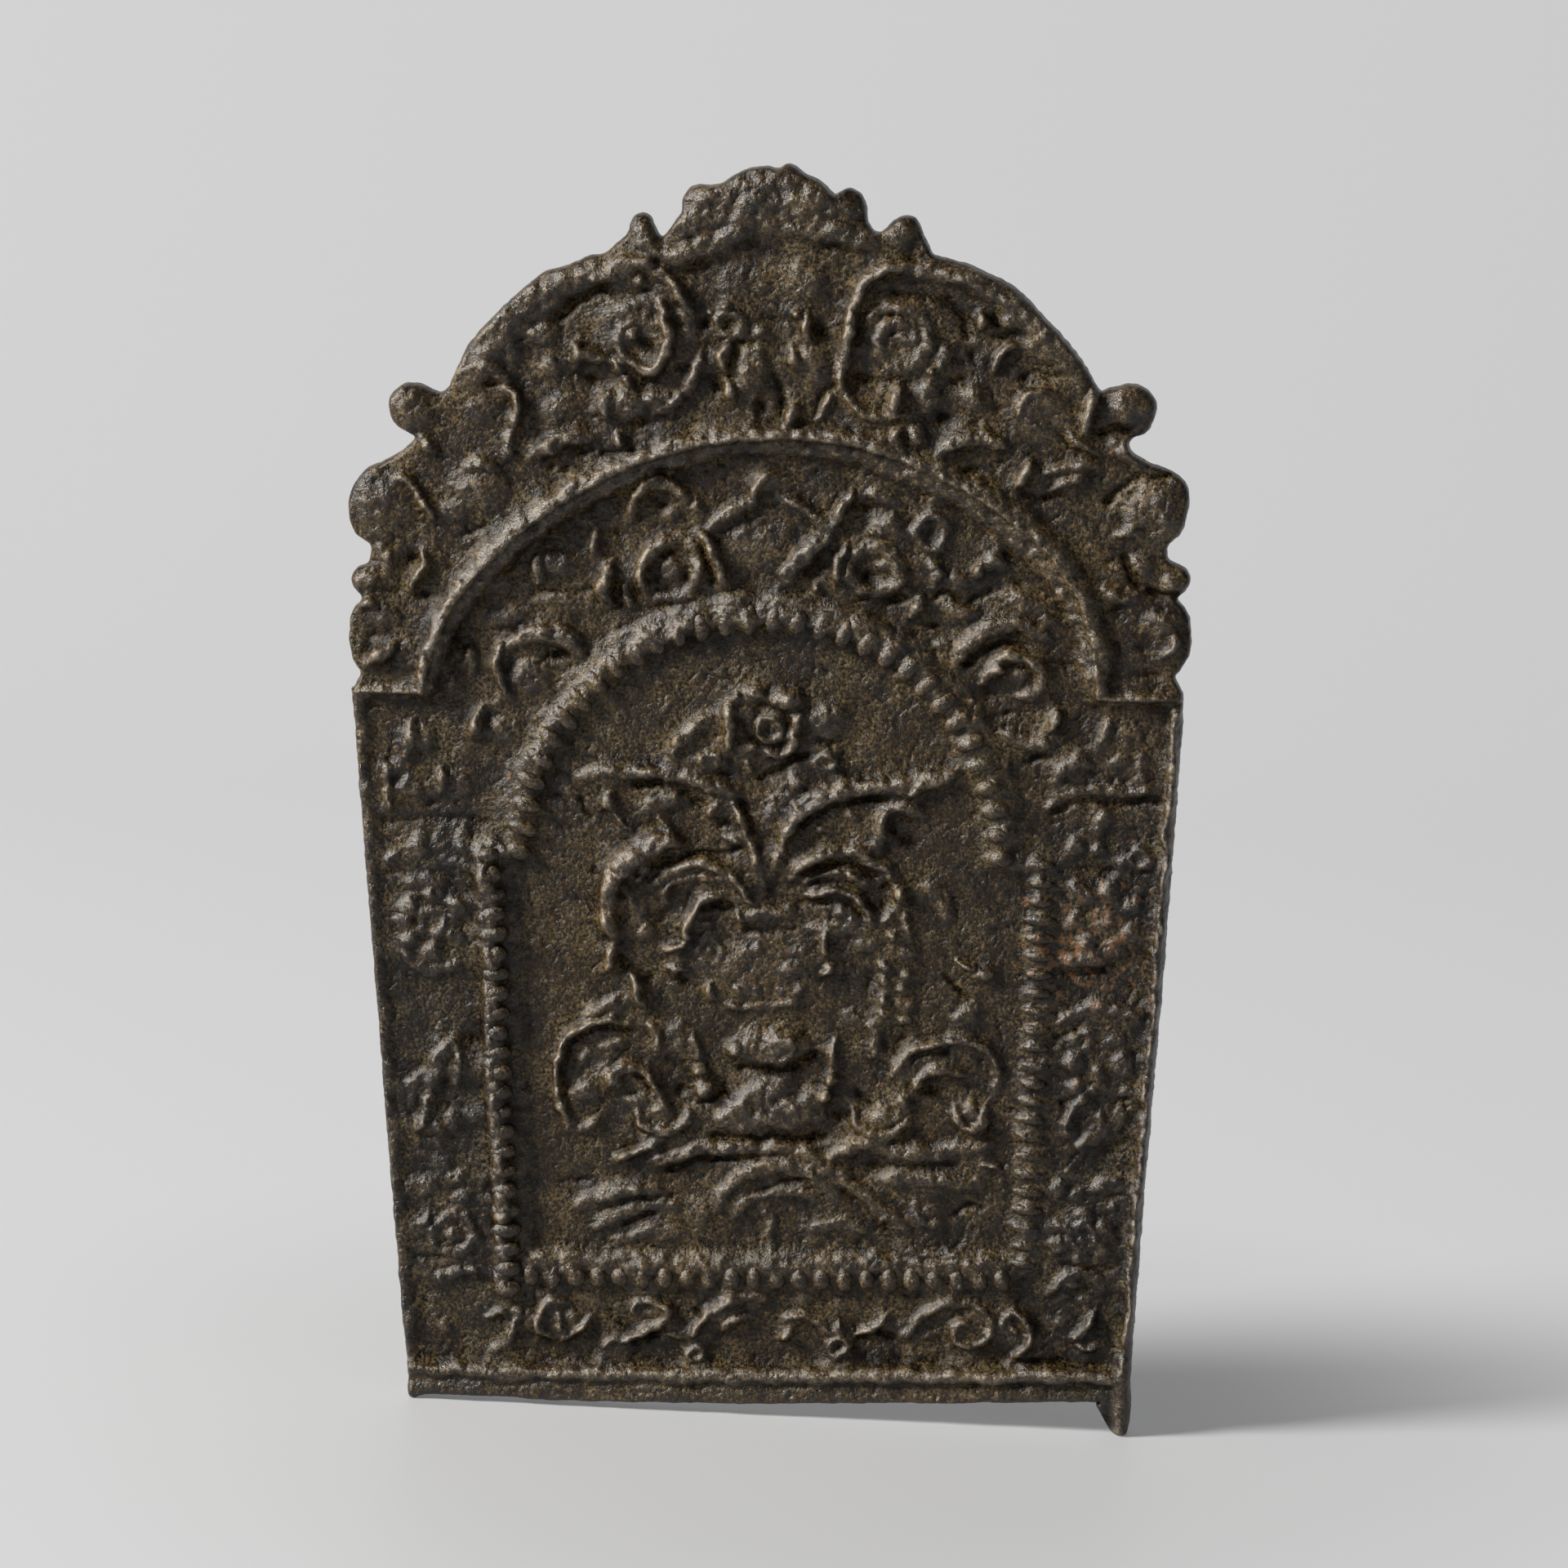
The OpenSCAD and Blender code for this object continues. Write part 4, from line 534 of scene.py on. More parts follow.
    # right side rose
    r.ridges(([234, 962, 244, 986, 270, 1006, 306, 1010, 344, 994], [11, 14, 11], [13, 17, 14, 9]),
             ([264, 932, 274, 956, 288, 970, 316, 972, 336, 954, 332, 932, 308, 920], [8, 11, 10], [11, 19, 14, 12]),
             ([284, 968, 280, 954, 274, 942], [5, 8, 5], [12, 23, 12]))
    r.domes((309, 948, 14, 11, 9), (238, 932, 15, 17, 9))
    r.ridges(([355, 908, 350, 896, 348, 884], 8, 21), ([286, 876, 320, 864, 360, 872], 11, 10))
    r.domes((252, 900, 14, 28, 8, 20))
    r.grooves(([244, 964, 270, 984, 312, 988], 4.5, 9))
    r.dents((274, 924, 13, 8, 9, -20), (364, 964, 16, 6, 8, -15), (296, 902, 22, 5, 8), (330, 846, 22, 7, 11, 10))


def centre(r):
    """Flowers in a vase, between scrolls, on hilly ground."""
    # top flower: eye, the lips of its petals and what lies round it
    r.rings((4, 879, 14, 6, 15))
    r.domes((-24, 904, 22, 22, 12), soft=0.7)
    r.domes((24, 916, 22, 17, 18), (-16, 924, 18, 10, 13))
    r.ridges(([-36, 920, -44, 906, -45, 882, -47, 858, -52, 848], [9, 11, 8], [16, 26, 25, 16]),
             ([42, 904, 37, 888, 35, 872, 28, 856, 12, 843], [8, 10, 8], [14, 23, 19, 12]))
    r.domes((-24, 854, 19, 13, 14), (8, 849, 15, 9, 12))
    r.domes((74, 890, 28, 24, 10), soft=0.8)
    r.ridges(([-109, 836, -113, 852, -104, 866, -86, 882, -64, 896], [8, 11, 10], [13, 22, 20, 11]))
    r.domes((-84, 866, 20, 13, 8, 35))
    r.ridges(([-72, 850, -79, 842, -74, 832], 8, 22))
    r.domes((-64, 839, 15, 12, 12))
    r.curls((-64, 838, 10, 4, 180, -0.9, 5, 15))
    r.ridges(([-22, 844, -22, 832, -14, 824], 5, 12), ([-122, 832, -112, 822], 6, 11))
    r.rings((74, 839, 14, 5, 9, 8.5))
    r.domes((36, 814, 17, 15, 14, -20))
    r.grooves(([-30, 888, -20, 870, 2, 859, 20, 866], 4, 8), ([-28, 909, 2, 910, 22, 900, 29, 884], 4.5, 8),
              ([-4, 820, 14, 826, 30, 840, 48, 847], 5.5, 12), ([22, 826, 24, 806], 4, 8),
              ([118, 822, 120, 804], 3, 6))
    r.dents((4, 879, 6, 6, 4), (30, 886, 5, 6, 6), (-52, 824, 16, 5, 8), (-45, 839, 5, 8, 6), (74, 839, 7, 3, 4),
            (72, 864, 20, 6, 8), (94, 849, 6, 5, 7))
    # left leaf, with its stem
    r.ridges(([-32, 796, -64, 806, -104, 820, -150, 822, -196, 824, -234, 816], [11, 14, 12, 11, 9],
              [12, 15, 14, 13, 11]), ([-4, 680, -10, 706, -19, 736, -29, 764, -42, 787], [8, 9, 8], [12, 16, 17, 15]),
             ([-58, 786, -67, 778, -64, 768], 7, 19))
    r.domes((-130, 786, 28, 15, 9, 10))
    r.ridges(([-189, 798, -196, 788, -193, 776], [7, 10, 7], [14, 22, 14]),
             ([-192, 773, -178, 764, -164, 752], 4.5, 10), ([-134, 770, -120, 752], 4.5, 11),
             ([-52, 744, -42, 742, -30, 734], 8, 13))
    r.grooves(([-162, 806, -132, 810, -110, 806, -92, 790, -74, 784], 5, 11), ([-32, 788, -22, 772, -16, 754], 5, 9),
              ([-228, 792, -224, 778, -214, 768], 4.5, 8))
    r.dents((-52, 762, 9, 8, 11), (-142, 759, 15, 9, 10, -10), (-246, 754, 14, 5, 5, -30))
    # right leaf
    r.ridges(([9, 702, 18, 728, 27, 754, 40, 776, 68, 795, 106, 806, 150, 810, 184, 813, 216, 824, 238, 832],
              [6, 9, 14, 15, 13, 14, 10], [16, 24, 19, 15, 14, 17, 12]), ([32, 788, 36, 776, 32, 764], 6, 21),
             ([172, 799, 182, 808, 198, 818], 7, 21), ([60, 749, 68, 756, 80, 752], 7, 15))
    r.domes((104, 772, 13, 10, 10), (6, 776, 9, 22, 7))
    r.ridges(([152, 782, 143, 768, 139, 750, 138, 728], [8, 10.5, 7], [16, 25, 23, 14]),
             ([150, 780, 170, 784, 192, 774], 11, 13))
    r.grooves(([46, 762, 64, 778, 96, 789, 148, 793], 4, 11))
    r.dents((172, 746, 19, 9, 9, -15), (156, 756, 6, 9, 6))
    # left branch: a broad crescent, and the drops under it
    r.ridges(([-104, 732, -124, 739, -148, 729, -172, 712, -189, 690, -197, 664, -196, 638, -189, 616],
              [10, 17, 21, 19, 15, 12, 8], [18, 24, 25, 26, 27, 26, 18]), ([-148, 712, -154, 700, -160, 688], 7, 22),
             ([-184, 608, -192, 594, -196, 574], [8, 11, 9], [16, 24, 19]),
             ([-168, 572, -162, 562, -159, 546, -147, 528], [7, 8, 5], [20, 22, 17, 13]))
    r.domes((-160, 654, 18, 22, 10))
    r.ridges(([-174, 684, -166, 668, -170, 648], 8, 12))
    r.domes((-148, 626, 14, 12, 9))
    r.dents((-136, 709, 16, 6, 10, 25), (-176, 586, 10, 10, 13), (-146, 568, 9, 8, 9))
    # left palm arcs
    r.ridges(([-148, 684, -120, 702, -88, 711, -58, 706, -34, 688, -17, 662], [9, 10, 9, 7], [11, 15, 17, 17]),
             ([-122, 660, -125, 674, -108, 689, -78, 694, -48, 692], 6, [11, 15, 13, 10]),
             ([-99, 614, -96, 632, -90, 652, -74, 668, -46, 674], [6, 6.5, 6], [19, 19, 16, 11]),
             ([-128, 600, -118, 604, -100, 614], 6, 19), ([-124, 582, -110, 576, -94, 578], 6, 15))
    r.domes((-110, 592, 16, 10, 8))
    r.grooves(([-128, 712, -96, 722, -56, 724, -34, 730], 5, 10), ([-118, 678, -100, 690, -80, 692], 3, 6),
              ([-82, 654, -68, 662, -46, 658], 6, 9))
    r.dents((-130, 644, 22, 6, 6, 45), (-100, 560, 16, 5, 7, -25))
    # right palm arcs
    r.ridges(([30, 693, 44, 712, 76, 727, 110, 726, 138, 713, 154, 702], [8, 11, 11, 8], [18, 19, 15, 16]),
             ([44, 689, 76, 702, 106, 699, 129, 686], 5, [13, 16, 13]),
             ([46, 673, 82, 681, 108, 673, 126, 655, 134, 639], 6, [12, 16, 16, 12]))
    r.domes((92, 652, 9, 6, 11), (106, 642, 9, 6, 11))
    r.ridges(([44, 634, 86, 632, 126, 630], 10, 8))
    r.grooves(([44, 700, 66, 711, 94, 714, 118, 708, 132, 698], 4.5, 13),
              ([56, 689, 86, 692, 110, 685, 123, 675], 3.5, 10), ([38, 662, 70, 668, 102, 663, 118, 652], 5, 9))
    # right branch: drops, folds and a string of beads
    r.ridges(([146, 700, 155, 696], 7, 19), ([160, 686, 165, 674, 162, 662], [7, 10, 7], [16, 24, 15]),
             ([156, 656, 148, 646, 146, 634], 6, 14), ([174, 654, 170, 640, 174, 626], 6, 12),
             ([158, 630, 154, 614], 7, 20))
    r.domes((126, 614, 18, 13, 9), (174, 602, 14, 9, 10))
    r.dents((148, 684, 7, 7, 11), (178, 670, 8, 7, 10), (143, 664, 6, 7, 9))
    for z in (586, 567, 544, 526):
        r.domes((145, z, 8, 9, 19))
    for z in (576, 557, 538, 520):
        r.domes((170, z, 13, 7, 11))
    r.ridges(([198, 690, 216, 668, 222, 642], 11, 6))
    r.dents((126, 564, 8, 16, 6), (232, 660, 8, 20, 6, 30))
    r.keep = 0.7
    # vase: lip, smooth body, knop and bell foot, all nearly worn flat
    r.ridges(([-38, 644, 0, 650, 36, 655], 11, [18, 16, 18]), ([-38, 654, -32, 646, -25, 640], 6, 28))
    r.domes((-6, 586, 88, 52, 11), soft=0.9)
    r.rings((-72, 604, 16, 6, 12))
    r.domes((-72, 606, 7, 6, 12), (-72, 636, 7, 6, 17), (-18, 604, 18, 11, 16, 15), (26, 582, 17, 12, 15, -15))
    r.ridges(([72, 628, 71, 614, 74, 600], 6, 31), ([81, 590, 76, 580, 68, 572], 7, 33),
             ([-68, 562, -70, 550, -64, 540], 8, 28))
    r.grooves(([-26, 630, 4, 628, 32, 633], 5.5, 10))
    r.dents((-44, 614, 12, 9, 5))
    for x in (-36, -12, 16, 42):
        r.ridges(([x, 562, x * 0.95, 549], 9, 21))
    r.ridges(([-58, 540, -32, 534, 4, 534, 42, 540], 8, 15))
    r.keep = 1.0
    # knop: an oval with gadroons and a button
    r.domes((3, 482, 55, 27, 17), soft=0.4)
    r.domes((-39, 482, 12, 12, 21))
    r.rings((21, 483, 13, 5, 19))
    for x in (-29, -16, -4):
        r.grooves(([x, 500, x - 4, 472], 3, 4))
    r.grooves(([-30, 454, 6, 451, 36, 457, 58, 476], 5.5, 12))
    # bell foot
    r.ridges(([-64, 386, -34, 406, 4, 428, 34, 436], [12, 18, 19, 15], [18, 15, 12, 9]),
             ([-66, 387, -20, 396, 26, 400, 66, 392], [13, 23, 26, 16], [18, 15, 14, 14]), soft=0.9)
    r.domes((46, 416, 24, 19, 11, 30))
    r.ridges(([84, 494, 82, 476, 81, 462], 7, 13), ([81, 454, 79, 442, 76, 434], [7, 10, 7], [16, 25, 16]))
    r.domes((73, 422, 8, 10, 24, -20), (-83, 452, 9, 9, 19), (-76, 429, 13, 12, 20))
    r.ridges(([-92, 496, -86, 482, -88, 466], 7, 10))
    r.grooves(([-64, 369, -20, 367, 30, 369, 72, 370], 5.5, 13), ([-82, 413, -68, 417, -54, 426, -40, 418], 3.5, 11),
              ([-60, 428, -52, 440], 3, 8))
    r.dents((89, 398, 14, 14, 10), (-106, 427, 11, 6, 10))
    # left scroll: a thin lip, a curl in it and a crescent below
    r.ridges(([-162, 508, -192, 513, -220, 510, -239, 501, -252, 483, -259, 460, -261, 434, -257, 408, -250, 386,
               -246, 372], 6, [10, 17, 21, 19, 17, 12]), ([-224, 520, -202, 530, -182, 546], 8, 11),
             ([-194, 430, -192, 444, -178, 452, -158, 451, -142, 440, -132, 422, -129, 404, -140, 399], [11, 9, 6, 6],
              [23, 19, 16, 15, 13]))
    r.domes((-189, 438, 12, 11, 22), (-162, 414, 20, 14, 10))
    r.ridges(([-159, 406, -158, 390, -144, 379, -122, 378, -104, 387, -96, 404], [7, 10, 8], [16, 20, 17]))
    r.domes((-124, 398, 16, 11, 11), (-226, 424, 22, 18, 8, 20))
    r.ridges(([-234, 376, -218, 380, -204, 389], 8, 12))
    r.domes((-194, 482, 22, 12, 10, 15), (-226, 466, 9, 16, 9, -20))
    r.ridges(([-142, 512, -136, 494, -138, 470], 9, 15))
    r.domes((-114, 490, 16, 26, 8))
    r.grooves(([-168, 501, -194, 505, -222, 502, -242, 484, -251, 454, -251, 420], 4, 8),
              ([-168, 444, -152, 440, -139, 424], 3.5, 9), ([-166, 396, -162, 378, -146, 370], 3, 8))
    # right scrolls
    r.ridges(([108, 408, 111, 392, 124, 379, 146, 375, 166, 383, 176, 396], [7, 10, 9], [13, 18, 14]))
    r.domes((146, 400, 24, 17, 11), (168, 414, 10, 10, 15))
    r.ridges(([232, 412, 235, 397, 248, 387, 264, 391, 273, 409], 8.5, [13, 19, 17, 13]))
    r.domes((253, 406, 16, 14, 12), (186, 440, 9, 10, 23))
    r.ridges(([188, 447, 204, 456, 228, 457, 248, 450], [10, 9, 7], [20, 15, 10]),
             ([154, 450, 166, 468, 188, 483, 220, 493, 256, 492, 276, 476, 284, 450, 282, 426], 8,
              [13, 18, 14, 10, 9]), ([130, 518, 136, 500, 132, 480, 128, 468], 8, [10, 17, 13]))
    r.domes((106, 522, 16, 12, 8), (244, 524, 22, 13, 8, 20))
    r.ridges(([230, 596, 244, 588, 258, 582], 4, 14))
    r.domes((268, 576, 16, 9, 13))
    r.grooves(([109, 430, 120, 420, 130, 410], 4, 9), ([178, 470, 196, 478, 224, 479], 5, 9),
              ([218, 578, 232, 562, 248, 546], 3, 14))
    r.dents((200, 431, 15, 6, 11, 8), (174, 438, 5, 9, 8), (168, 496, 14, 9, 6))
    # ground: long low hills with hard shadows under them
    r.keep = 0.8
    r.ridges(([-188, 335, -174, 345, -152, 353, -134, 364, -122, 372], [6, 8, 7], [20, 21, 13]),
             ([-146, 334, -110, 346, -66, 355, -10, 358, 34, 355, 64, 341, 92, 319, 124, 294, 154, 272, 176, 250],
              [9, 12, 13, 12, 11], [13, 17, 15, 16, 12]),
             ([-62, 274, -52, 298, -32, 319, -4, 331, 30, 332, 62, 318, 90, 290], [9, 14, 15, 12], [15, 21, 17, 10]),
             ([-42, 266, -24, 286, 4, 297, 40, 302, 70, 292], 8, 12), ([-8, 272, 4, 270, 8, 256, 0, 246], 4.5, 10),
             ([-240, 274, -208, 290, -174, 298, -134, 304], [9, 13, 10], [12, 17, 12]),
             ([-214, 248, -178, 269, -134, 282, -104, 282], [9, 12, 9], 12),
             ([-200, 228, -156, 244, -100, 244], 12, 9))
    r.domes((-88, 272, 18, 26, 7))
    r.ridges(([79, 344, 92, 354, 126, 360, 162, 356, 200, 352, 248, 358, 276, 368], [9, 13, 13, 10],
              [20, 16, 13, 13]), ([142, 318, 200, 318, 266, 312], 12, 11), ([266, 336, 282, 339, 294, 330], 4, 16),
             ([184, 294, 186, 276, 200, 262, 218, 266], 8, 12))
    r.domes((204, 282, 14, 12, 8))
    r.ridges(([46, 250, 86, 262, 122, 254], 10, 9))
    r.grooves(([-190, 348, -176, 352, -158, 360], 2.5, 9), ([-120, 326, -90, 336, -50, 342, -6, 345], 5, 13),
              ([-10, 303, 14, 312, 52, 318], 4, 11), ([-24, 278, -6, 289, 20, 292], 3.5, 6),
              ([-214, 268, -180, 283, -134, 293], 4, 8), ([-178, 258, -152, 268, -138, 267], 4, 10),
              ([126, 336, 170, 334, 236, 338], 6, 8), ([96, 302, 122, 278, 150, 256], 4, 7),
              ([232, 280, 250, 285, 268, 282], 4.5, 11), ([244, 254, 240, 240, 230, 228], 4, 9),
              ([142, 224, 180, 220, 220, 219, 270, 222], 3.5, 9))
    r.dents((-92, 324, 19, 9, 9), (-120, 293, 8, 4, 10), (-240, 310, 26, 8, 8, 8), (-184, 318, 20, 5, 6, 8),
            (112, 236, 13, 8, 8, 30))


def sides(r):
    """Buds, rosettes and husks down both side panels."""
    # left panel, top to bottom
    r.ridges(([-437, 886, -440, 864, -446, 836], [8, 11, 8], 18),
             ([-466, 830, -471, 812, -465, 792, -464, 772], 7, [16, 12, 17]),
             ([-399, 826, -401, 806, -402, 788], 6, 19))
    r.domes((-424, 864, 16, 18, 10), (-442, 804, 20, 16, 11), (-380, 806, 18, 20, 9), (-464, 712, 10, 14, 14, -20),
            (-430, 728, 18, 19, 13), (-374, 734, 16, 20, 12), (-402, 732, 14, 16, 8))
    r.ridges(([-406, 708, -384, 710, -360, 700], 9, 9))
    r.grooves(([-472, 758, -430, 762, -384, 764, -344, 759], 6, 7))
    r.dents((-456, 815, 10, 6, 7), (-416, 778, 16, 7, 7), (-458, 696, 16, 5, 8))
    for a in np.radians(90 + 60 * np.arange(6)):
        r.domes((-414 + 34 * np.cos(a), 634 + 35 * np.sin(a), 17, 17, 17), soft=0.35)
    r.rings((-414, 634, 15, 7, 14))
    r.ridges(([-412, 612, -398, 630], 7, 20), ([-450, 602, -436, 580, -408, 572, -380, 584], 9, 13))
    r.domes((-448, 638, 14, 17, 19), (-422, 684, 28, 14, 11))
    r.ridges(([-389, 485, -412, 454, -420, 418], [8, 13, 8], 16), ([-388, 482, -383, 456, -385, 426], 7, 16),
             ([-428, 446, -440, 426, -438, 406], 8, 11), ([-414, 416, -426, 392, -435, 368], 9, 18))
    r.domes((-410, 374, 14, 10, 14), (-390, 384, 12, 14, 11))
    r.ridges(([-375, 398, -364, 389, -359, 382], 6, 9))
    r.domes((-370, 460, 16, 14, 7, -35))
    r.ridges(([-416, 360, -408, 346], 7, 9))
    r.domes((-424, 298, 14, 13, 11), (-386, 312, 15, 10, 12), (-382, 286, 15, 10, 13), (-406, 330, 12, 10, 7))
    r.rings((-390, 239, 27, 8, 12, 25))
    r.domes((-390, 240, 13, 12, 14))
    r.ridges(([-389, 217, -374, 225, -366, 238], 8, 18), ([-432, 246, -422, 264], 6, 16))
    r.domes((-390, 190, 18, 11, 13, 25), (-409, 182, 10, 12, 12), (-368, 194, 12, 8, 11), (-428, 194, 12, 13, 7))
    r.grooves(([-436, 212, -404, 208], 5, 7))
    r.dents((-426, 662, 8, 5, 6), (-368, 484, 10, 9, 8), (-400, 436, 6, 12, 7), (-382, 343, 8, 5, 7),
            (-384, 301, 9, 4, 6))
    # right panel
    r.ridges(([422, 892, 413, 876, 406, 864], 7, 16))
    r.domes((442, 874, 18, 18, 9), (428, 846, 18, 13, 9), (460, 842, 12, 18, 9))
    r.ridges(([352, 816, 362, 834, 378, 844, 398, 840], [8, 12, 10], 13), ([342, 784, 358, 792], 9, 16),
             ([368, 802, 400, 809, 440, 806, 472, 808], 9, 13))
    r.domes((458, 824, 10, 12, 12), (412, 770, 12, 18, 11, -20), (380, 738, 14, 15, 13), (406, 735, 11, 12, 13))
    r.rings((460, 724, 11, 6, 11))
    r.ridges(([432, 712, 446, 726], 7, 12))
    r.grooves(([352, 778, 382, 796, 436, 790, 478, 796], 5.5, 10), ([362, 710, 394, 709, 426, 708], 6, 8))
    r.dents((462, 709, 12, 4, 9))
    for a in np.radians(80 + 51.4 * np.arange(7)):
        r.domes((416 + 36 * np.cos(a), 648 + 37 * np.sin(a), 17, 17, 14), soft=0.35)
    r.domes((414, 650, 20, 19, 12), (382, 686, 13, 13, 14))
    r.ridges(([376, 654, 366, 632], 8, 16), ([362, 596, 388, 600, 416, 594], [9, 12, 9], 13),
             ([360, 516, 380, 530, 414, 539, 446, 532, 460, 516], [8, 10, 7], 13))
    r.domes((381, 496, 11, 9, 13), (397, 506, 8, 8, 12), (432, 500, 18, 12, 8), (396, 487, 9, 8, 12),
            (379, 470, 15, 18, 19, -15), (380, 438, 15, 15, 17), (408, 456, 9, 14, 15), (402, 436, 9, 9, 14))
    r.ridges(([397, 434, 383, 412, 368, 389, 372, 374], 6, [16, 20, 17]))
    r.domes((438, 466, 17, 23, 13), (444, 436, 13, 10, 10), (402, 374, 17, 12, 13))
    r.ridges(([390, 352, 388, 366, 398, 384], 7, 14), ([412, 414, 412, 396, 422, 376], 8, 11),
             ([438, 414, 434, 386], 11, 9))
    r.domes((359, 310, 12, 13, 14))
    r.ridges(([376, 302, 392, 306], 12, 11), ([404, 304, 416, 318, 440, 326], [10, 11, 9], 15))
    r.domes((427, 289, 9, 8, 14))
    r.ridges(([366, 332, 396, 324], 8, 7))
    r.grooves(([356, 584, 382, 579, 414, 584], 5, 8), ([356, 501, 376, 506, 388, 518], 5, 9))
    r.dents((436, 619, 10, 5, 6), (366, 417, 7, 6, 9), (444, 424, 13, 5, 8, 20), (420, 450, 4, 14, 8, 10),
            (434, 364, 22, 6, 9, 25), (382, 315, 14, 4, 7, 15), (436, 304, 18, 5, 9))
    for x, z in ((367, 266), (393, 278), (416, 262), (416, 234), (388, 226), (360, 240)):
        r.domes((x, z, 15, 14, 17), soft=0.35)
    r.rings((391, 250, 17, 7, 17))
    r.domes((389, 246, 9, 7, 15))
    r.ridges(([348, 180, 364, 193, 384, 204, 406, 198, 419, 182], [7, 11, 8], [17, 15, 11]))
    r.domes((382, 188, 16, 8, 14, 8), (372, 173, 8, 8, 12), (394, 171, 16, 7, 8))
    r.grooves(([364, 216, 396, 212, 430, 214], 6, 7))
    r.dents((392, 266, 9, 4, 6), (436, 250, 6, 24, 6))


def frieze(r):
    """A plain traditional scrollwork frieze under the bead row."""
    # left half: a hooked leaf, a ring with a tail, an S scroll and a long arc with its eye
    r.ridges(([-352, 136, -334, 143, -312, 142, -317, 122, -324, 99], 7, [8, 12, 13, 11]),
             ([-326, 99, -346, 94], 7, 8),
             ([-244, 154, -262, 158, -280, 149, -287, 131, -280, 115, -264, 108], [6, 8.5, 8], [11, 17, 14]),
             ([-258, 142, -256, 128, -259, 117], 5, 13))
    r.domes((-243, 136, 9, 12, 10))
    r.ridges(([-218, 140, -236, 120, -259, 101], [5, 6, 5], [9, 16, 11]),
             ([-207, 97, -194, 109, -172, 112, -150, 120, -130, 132, -123, 145, -134, 157, -152, 158, -165, 149,
               -162, 135], [5, 7.5, 7], [12, 13, 18, 17, 11]))
    r.domes((-146, 142, 11, 8, 9, -25))
    r.ridges(([-134, 118, -116, 116, -98, 114], 5, 9),
             ([-98, 112, -86, 130, -70, 148, -48, 160, -20, 165, 6, 162], [6, 8, 7], [14, 18, 15, 10]),
             ([-54, 117, -49, 132, -34, 142, -14, 144], [6, 8, 6], [15, 13, 9]))
    r.rings((-89, 92, 11, 4.5, 10, 7))
    r.grooves(([-196, 142, -182, 128, -168, 120], 4, 7), ([-166, 107, -142, 113, -128, 119], 4, 9),
              ([-92, 148, -86, 140], 4, 9))
    # right half: an arc with its eye, a twig, the long scroll, a hooked curl and a leaf
    r.ridges(([16, 132, 32, 141, 50, 142, 68, 134, 80, 122], 6, [9, 12, 10]))
    r.domes((26, 116, 10, 8, 15, 15), (86, 133, 5, 7, 14))
    r.rings((89, 105, 11, 5, 12, 13))
    r.ridges(([112, 119, 130, 126, 143, 136, 150, 149], 6, [9, 15, 12]))
    r.grooves(([113, 115, 130, 118, 142, 124, 156, 116], 4, 9))
    r.dents((89, 105, 6, 6, 6))
    r.ridges(([165, 116, 180, 129, 190, 143, 208, 156, 230, 163, 252, 162, 272, 151, 280, 134, 272, 118, 254, 111,
               238, 116, 232, 130, 240, 139, 250, 136], [6, 7.5, 6.5, 7], [9, 15, 12, 13, 15, 19]),
             ([296, 130, 294, 143, 306, 151, 320, 146, 327, 130, 323, 114, 314, 101, 304, 96], [5.5, 6.5, 7.5],
              [12, 14, 19, 16]))
    r.domes((307, 131, 7, 7, 11))
    r.ridges(([334, 102, 352, 110], 5, 7), ([408, 153, 397, 136, 379, 116], [5, 7.5, 6], 18),
             ([382, 112, 400, 110, 419, 115], 6, 12))
    r.grooves(([316, 93, 346, 90, 380, 90, 416, 91], 4.5, 8))
    for x, z in ((-404, 122), (-216, 162), (48, 166), (94, 156), (206, 124), (184, 96), (362, 140), (-80, 170)):
        r.domes((x, z, 12, 7, 4.5, x))


# ---------------------------------------------------------------- from height field to cast pieces

def near(line, r, reach, closed=False):
    """Distance of every grid point to a line, up to reach, and the number of the closest point on it.
    Only a line of a few points is smoothed; the outline comes here dense."""
    c = curve(line, closed, gap=0.06) if len(line) < 400 else np.asarray(line, float)
    far = np.full(r.base.shape, reach)
    which = np.zeros(r.base.shape, int)
    X, Z = r.plain
    for k, (cx, cz) in enumerate(c):
        i0, i1 = np.searchsorted(r.x, [cx - reach, cx + reach])
        j0, j1 = np.searchsorted(r.z, [cz - reach, cz + reach])
        win = slice(j0, j1), slice(i0, i1)
        d = np.hypot(X[win] - cx, Z[win] - cz)
        m = d < far[win]
        far[win][m] = d[m]
        which[win][m] = k
    return far, which


def outline_line():
    """The silhouette as one dense closed line, slightly uneven as a sand mould leaves it."""
    c = curve(OUTLINE, closed=True, gap=0.06)
    step = np.roll(c, -1, 0) - c
    c = c[np.hypot(*step.T) > 1e-6]
    t = np.roll(c, -3, 0) - np.roll(c, 3, 0)
    t /= np.hypot(*t.T)[:, None] + 1e-9
    out = np.c_[-t[:, 1], t[:, 0]]
    low = np.clip(c[:, 1] / 4, 0, 1)[:, None]
    c = c + out * low * (0.11 * lumps(c[:, 0], c[:, 1], 2.6, 11) + 0.06 * lumps(c[:, 0], c[:, 1], 0.9, 12))[:, None]
    c[:, 1] = np.maximum(c[:, 1], 0.02)
    return c, out


